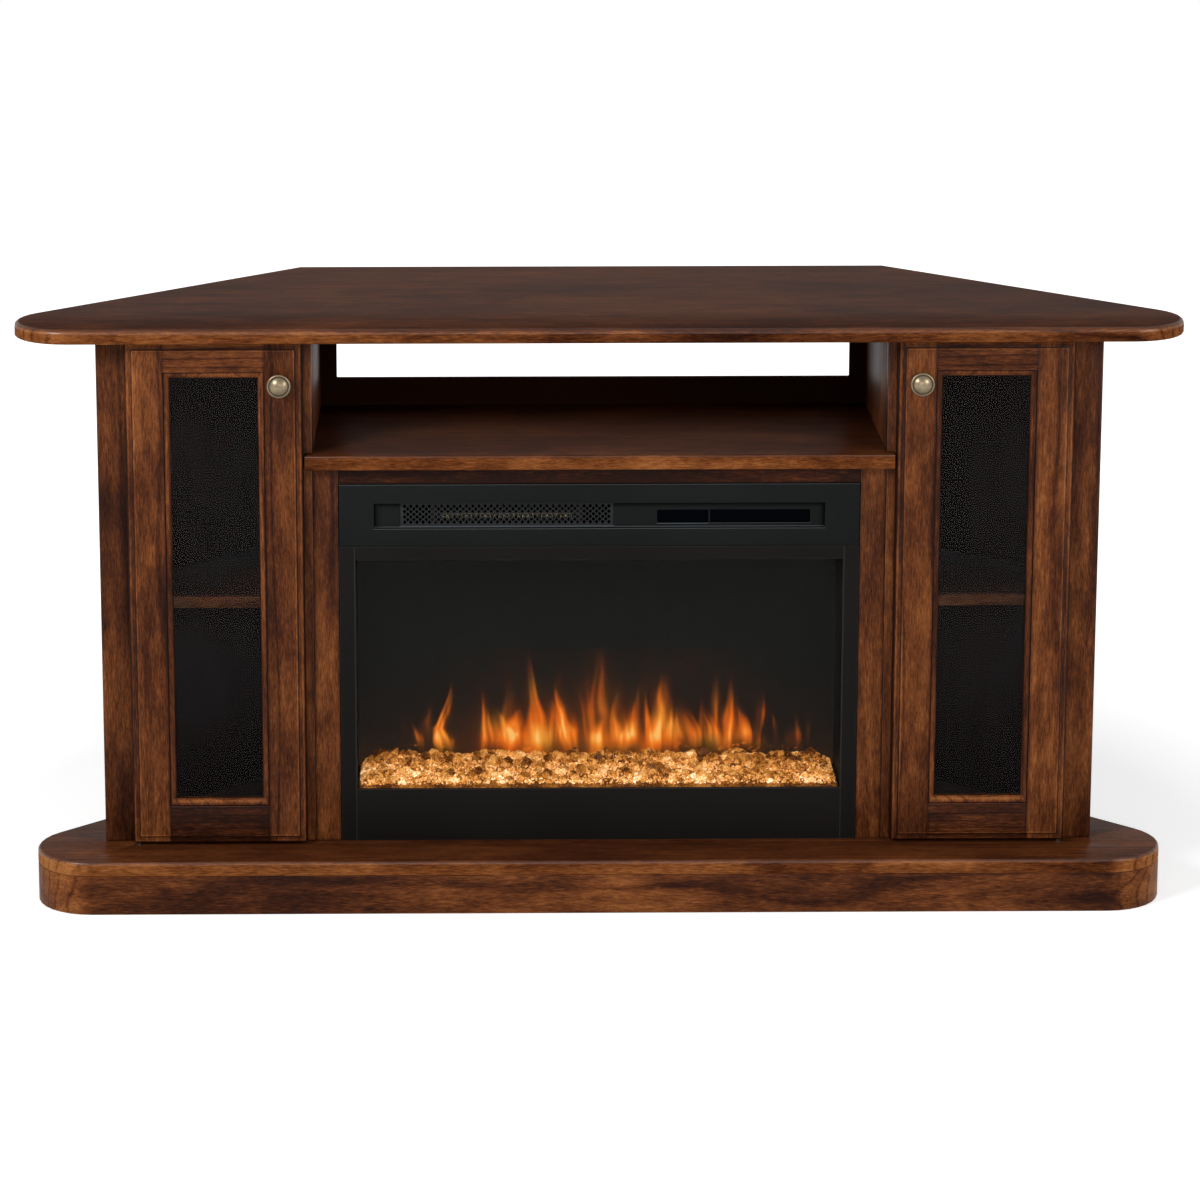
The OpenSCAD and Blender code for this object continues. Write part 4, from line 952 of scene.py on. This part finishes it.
tongue(0.45, (561, 688, 1.6), (561, 680, 1.6), (560, 672, 0.8))
tongue(0.80, (601, 756, 10), (600, 738, 10), (602, 722, 5))
tongue(0.32, (600, 730, 12), (597, 705, 10), (599, 668, 6), (598, 628, 2))
tongue(0.75, (624, 752, 6), (628, 736, 7), (632, 722, 4))
tongue(0.60, (621, 748, 2), (621, 738, 2), (622, 732, 1))
tongue(1.00, (659, 758, 11), (659, 735, 10), (661, 712, 7), (664, 672, 1.5))
tongue(0.60, (650, 740, 6), (647, 715, 4), (644, 692, 1))
tongue(0.65, (666, 742, 5), (669, 722, 4), (671, 705, 1.2))
tongue(0.55, (677, 758, 1.6), (677, 748, 1.5), (676, 740, 0.8))
tongue(0.52, (690, 752, 11), (691, 735, 11), (686, 718, 6), (684, 706, 2))
tongue(0.62, (714, 750, 7), (711, 730, 6), (704, 712, 4), (701, 703, 1))
tongue(0.72, (727, 752, 8), (729, 725, 7), (731, 700, 4), (732, 667, 1))
tongue(0.36, (716, 735, 6), (716, 700, 5), (716, 662, 1.5))
tongue(0.95, (745, 752, 6), (744, 733, 7), (741, 718, 5), (737, 706, 2))
tongue(0.36, (757, 730, 5), (761, 706, 5), (763, 690, 2))
tongue(0.85, (776, 732, 2.2), (775, 722, 2.2), (773, 714, 1))
tongue(0.55, (764, 752, 3), (765, 742, 3), (766, 734, 1))
tongue(0.30, (403, 745, 2.6), (404, 728, 2.2), (402, 712, 1))
tongue(0.24, (805, 745, 2.6), (806, 728, 2.2), (804, 716, 1))
tongue(0.26, (590, 730, 4), (586, 690, 3), (584, 640, 1))
wisp_dice = random.Random(21)
for _ in range(70):
    root = wisp_dice.gauss(620, 105)
    if not 385 < root < 815:
        continue
    tall = wisp_dice.uniform(22, 84) * (1 - abs(root - 600) / 420)
    lean = wisp_dice.uniform(-0.16, 0.10) * tall
    half = wisp_dice.uniform(1.4, 6)
    tongue(wisp_dice.uniform(0.10, 0.42), (root, 752, half),
           (root + 0.3 * lean, 752 - 0.5 * tall, half * 0.9), (root + lean, 752 - tall, 1.5))
print("tongues", len(TONGUES))


# %% Brightness of the flame picture
def smooth_noise(x, z, cell_x, cell_z, seed):
    """Soft random values on a grid of cells, blended between the cells' corners."""
    dice = np.random.default_rng(seed)
    table = dice.random((256, 256))
    u, v = x / cell_x + 1000, z / cell_z + 1000
    i, j = np.floor(u).astype(int), np.floor(v).astype(int)
    a, b = u - i, v - j
    a, b = a * a * (3 - 2 * a), b * b * (3 - 2 * b)

    def corner(p, q):
        return table[(i + p) % 256, (j + q) % 256]

    return ((corner(0, 0) * (1 - a) + corner(1, 0) * a) * (1 - b)
            + (corner(0, 1) * (1 - a) + corner(1, 1) * a) * b)


def flame_brightness(x, z):
    # The tongues wander sideways by a few millimetres, more so away from the bed
    wobble = (smooth_noise(x, z, 0.012, 0.034, 5) - 0.5) * 0.007
    x = x + wobble * np.clip((z - sill) / 0.05, 0, 1)
    total = np.zeros_like(x)
    strand_dice = random.Random(5)
    for strength, line in TONGUES:
        heights = [p[1] for p in line]
        centre = np.interp(z, heights, [p[0] for p in line])
        half = np.interp(z, heights, [p[2] for p in line])
        low, high = heights[0], heights[-1]
        root = 0.28 + 0.72 * np.clip((z - low) / 0.026, 0, 1)
        # A soft body and, if the tongue is broad, thin strands of other heights inside it
        parts = [(0.0, 1.25, 0.62, 1.0)]
        if max(p[2] for p in line) > 0.006:
            parts += [(strand_dice.uniform(-0.9, 0.9), strand_dice.uniform(0.22, 0.45),
                       strand_dice.uniform(0.25, 0.6), strand_dice.uniform(0.6, 1.15))
                      for _ in range(4)]
        for shift, width, share, reach in parts:
            tip = low + (high - low) * reach
            fade = np.clip((tip + 0.006 - z) / (0.62 * (tip - low)), 0, 1) ** 1.2
            across = np.exp(-(((x - centre - shift * half) / (half * width)) ** 2) * 1.3)
            total += strength * share * across * fade * root
    # Every tongue is dimmer near the glass bed and brightest a little above it
    above = np.clip((z - screen_point(600, 754).z) / 0.030, 0, 1)
    total *= 0.77 * (0.42 + 0.58 * above * above * (3 - 2 * above))
    # Fine streaks run up through all of them
    slant = x + 0.12 * z
    streaks = (0.66 + 0.40 * smooth_noise(slant, z, 0.0045, 0.05, 11)
               + 0.34 * smooth_noise(slant, z, 0.0021, 0.03, 12))
    # A glow hangs between the flames and thins out upwards
    haze = np.exp(-((x - 0.005) / 0.19) ** 4) * np.exp(-np.clip(z - 0.172, 0, 1) / 0.055)
    haze = haze * (0.16 + 0.40 * smooth_noise(x, z, 0.022, 0.04, 8) ** 1.5)
    # Small sparks are reflected in four groups just over the bed
    sparks = np.zeros_like(x)
    dice = random.Random(77)
    for _ in range(90):
        spot_x = dice.choice((-0.26, -0.10, 0.13, 0.22)) + dice.gauss(0, 0.035)
        spot_z = sill + dice.uniform(0.018, 0.040)
        near = ((x - spot_x) / dice.uniform(0.0009, 0.0022)) ** 2 + ((z - spot_z) / 0.0009) ** 2
        sparks = np.maximum(sparks, dice.uniform(0.2, 0.75) * np.exp(-near))
    return np.clip(total * streaks + haze + sparks, 0, 1.35)


print("strongest tongue", max(strength for strength, line in TONGUES))

# %% Flame sheet
FLAME_TOP = 0.300
sheet_low = Vector((screen_low.x + 0.012, 0, sill + 0.004))
sheet_high = Vector((screen_high.x - 0.012, 0, FLAME_TOP))
bpy.ops.mesh.primitive_grid_add(x_subdivisions=430, y_subdivisions=116, size=1)
flame_sheet = bpy.context.object
flame_sheet.name = "flame_picture"
span = sheet_high - sheet_low
flame_sheet.data.transform(Matrix.Translation(
    (0, screen_low.y - 0.0006, (sheet_low.z + sheet_high.z) / 2))
    @ Matrix.Rotation(math.radians(90), 4, "X") @ Matrix.Diagonal((span.x, span.z, 1, 1)))
places = np.array([v.co for v in flame_sheet.data.vertices])
bright = flame_brightness(places[:, 0], places[:, 2])
layer = flame_sheet.data.attributes.new("glow_level", "FLOAT", "POINT")
layer.data.foreach_set("value", bright.astype(np.float32))
flame = Finish("flame_light")
heat = flame.node("Attribute", attribute_name="glow_level", out="Fac")
colour = flame.ramp(heat / 1.35, (0.00, paint(96, 46, 18)), (0.16, paint(148, 70, 20)),
                    (0.34, paint(208, 94, 22)), (0.58, paint(240, 112, 26)),
                    (0.80, paint(249, 138, 44)), (1.00, paint(255, 190, 102)))
golden = flame.ramp(heat / 1.35, (0.00, paint(84, 52, 20)), (0.16, paint(132, 84, 26)),
                    (0.34, paint(192, 118, 34)), (0.58, paint(230, 146, 48)),
                    (0.80, paint(246, 166, 66)), (1.00, paint(255, 198, 110)))
drift = (flame.noise(flame.place, 22, 2, 0.5) * 3.4 - 1.5).clamped()
colour = flame.node("Mix", {0: drift, 6: colour, 7: golden}, out=2, data_type="RGBA")
cover = flame.ramp(heat, (0.0, (0, 0, 0)), (0.20, (0.20, 0.20, 0.20)),
                   (0.60, (0.72, 0.72, 0.72)), (1.0, (1, 1, 1)))
clear = flame.node("BsdfTransparent")
burning = flame.node("Emission", {"Color": colour, "Strength": 1.0})
flame.show(flame.node("MixShader", {0: cover, 1: clear, 2: burning}))
dress(flame_sheet, flame.material)
print("flame points", len(places), "brightest", round(float(bright.max()), 2))

# %% Screen finish
screen = Finish("half_mirrored_screen")
SCREEN_FOOT, SCREEN_RISE = 0.14, 0.31
# The screen glows warm near the bed and fades upwards: painted glow of the bed's light on the
# half-mirror
painted_glow = screen.ramp((screen.along("Z") - SCREEN_FOOT) / SCREEN_RISE,
                   (0.0, paint(62, 42, 30)), (0.16, paint(38, 31, 26)),
                   (0.45, paint(27, 27, 24)), (1.0, paint(15, 15, 14)))
screen_finish = screen.surface(
    Base_Color=(*paint(8, 8, 8), 1), Roughness=0.3 + screen.noise(screen.place, 300) * 0.1,
    Emission_Color=painted_glow, Emission_Strength=0.55, Specular_IOR_Level=0.01)
repaint(nodes["flame_screen"], screen_finish)
print("screen from", round(screen_low.z, 3), "to", round(screen_high.z, 3))

# %% [markdown]
# ## Crushed glass
#
# The bed is crushed amber glass, lit from below: pieces from a few millimetres to two
# centimetres, with flat broken faces. Six stones are cut from small spheres with bisect, as
# if struck, and then copied over the bed in many sizes and turns. Each facet carries a tone
# near that of its stone, which the finish turns into cream, gold, amber or, rarely, brown.


# %% Broken stones
CUTS = 3


def broken_stone(number):
    dice = random.Random(100 + number)
    bpy.ops.mesh.primitive_ico_sphere_add(subdivisions=1, radius=1)
    stone = bpy.context.object
    stone.name = "stone_%d" % number
    bpy.ops.object.mode_set(mode="EDIT")
    for _ in range(CUTS):
        normal = Vector([dice.uniform(-1, 1) for _ in range(3)]).normalized()
        bpy.ops.mesh.select_all(action="SELECT")
        bpy.ops.mesh.bisect(plane_co=normal * dice.uniform(0.45, 0.8), plane_no=normal,
                            clear_outer=True, use_fill=True)
    bpy.ops.object.mode_set(mode="OBJECT")
    shape = stone.data.copy()
    bpy.data.objects.remove(stone)
    return shape


deselect_all()
stone_shapes = [broken_stone(n) for n in range(6)]
print("stone faces", [len(s.polygons) for s in stone_shapes])

# %% One layer of stones
FULL_TURN = 6.28
bed = nodes["ember_bed"]
bed_low, bed_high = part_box("ember_bed")


def bed_height(x, y):
    hit, spot = bed.ray_cast(Vector((x, y, 1)), Vector((0, 0, -1)))[:2]
    return spot.z if hit else bed_low.z


def stone_layer(name, count, sizes, lift, seed, back_half=False):
    """Stones on the bed, each with its own tone and each facet a little off that tone."""
    dice = random.Random(seed)
    points, faces, tones = [], [], []
    for _ in range(count):
        size = sizes[0] + (sizes[1] - sizes[0]) * dice.random() ** 2.0
        x = dice.uniform(bed_low.x + size, bed_high.x - size)
        near = (bed_low.y + bed_high.y) / 2 if back_half else bed_low.y
        y = dice.uniform(near + size, bed_high.y - size)
        z = bed_height(x, y) + size * dice.uniform(*lift)
        turn = (Matrix.Rotation(dice.uniform(0, FULL_TURN), 3, "Z")
                @ Matrix.Rotation(dice.uniform(0, FULL_TURN), 3, "X"))
        squash = Matrix.Diagonal((size * dice.uniform(0.8, 1.25), size * dice.uniform(0.7, 1.0),
                                  size * dice.uniform(0.55, 0.95)))
        shape = dice.choice(stone_shapes)
        first = len(points)
        points += [Vector((x, y, z)) + turn @ (squash @ v.co) for v in shape.vertices]
        faces += [[first + i for i in p.vertices] for p in shape.polygons]
        tone = dice.random()
        tones += [0.5 * tone + 0.5 * dice.random() for _ in shape.polygons]
    mesh = bpy.data.meshes.new(name)
    mesh.from_pydata(points, [], faces)
    mesh.attributes.new("tone", "FLOAT", "FACE").data.foreach_set("value", tones)
    piece = bpy.data.objects.new(name, mesh)
    bpy.context.scene.collection.objects.link(piece)
    return piece


print("bed", [round(v, 3) for v in bed_high - bed_low])

# %% [markdown]
# ## Light in the glass
#
# Lamps under the tray light the real glass from below. To trace that light would be slow and
# leave noise, so each facet glows in its own colour instead, paler low down and darker on the
# crest. Large lumps lie below, and two layers of crumbs fill the bed.


# %% Spread the glowing stones
def ember_finish(name, strength, darker=0.0, gloss=0.2):
    glass = Finish(name)
    tone = glass.node("Attribute", attribute_name="tone", out="Fac")
    sparkle = glass.noise(glass.place, 520, 3, 0.7)
    cloud = glass.noise(glass.place, 34, 2, 0.5)
    height = glass.along("Z")
    shade = tone * 0.8 + sparkle * 1.0 + cloud * 1.2 - 0.83 - darker
    # Painted glints: where the fine noise is highest the colour turns pale
    shade = shade + ((sparkle - 0.60) * 9).clamped() * 0.42
    shade = shade - ((height - bed_low.z) / 0.03).clamped() * 0.28
    colour = glass.ramp(shade, (0.02, paint(74, 38, 12)), (0.20, paint(134, 78, 26)),
                        (0.40, paint(184, 120, 48)), (0.60, paint(212, 152, 82)),
                        (0.80, paint(236, 194, 138)), (1.00, paint(255, 240, 214)))
    return glass.surface(Base_Color=colour, Roughness=0.22 + sparkle * 0.1,
                         Emission_Color=colour, Emission_Strength=strength,
                         Specular_IOR_Level=gloss)


ember_glass = ember_finish("crushed_amber_glass", 0.75)
amber_lump = ember_finish("amber_lumps", 0.45, 0.1, 0.04)
crest_glass = ember_finish("amber_crest", 0.5, 0.14, 0.04)
stone_pieces = [
    stone_layer("glass_lumps", 260, (0.0058, 0.0120), (-0.3, 0.5), 3),
    stone_layer("glass_crest", 120, (0.0060, 0.0120), (0.2, 0.9), 9, back_half=True),
    stone_layer("glass_crumbs_a", 3000, (0.0014, 0.0052), (-0.1, 0.8), 4),
    stone_layer("glass_crumbs_b", 3900, (0.0012, 0.0034), (0.3, 1.1), 5),
]
for stones, finish in zip(stone_pieces, (amber_lump, crest_glass, ember_glass, ember_glass)):
    dress(stones, finish, smooth=0)
repaint(bed, ember_finish("glass_underneath", 0.3))
print("stone triangles", [sum(len(p.vertices) - 2 for p in s.data.polygons)
                          for s in stone_pieces])
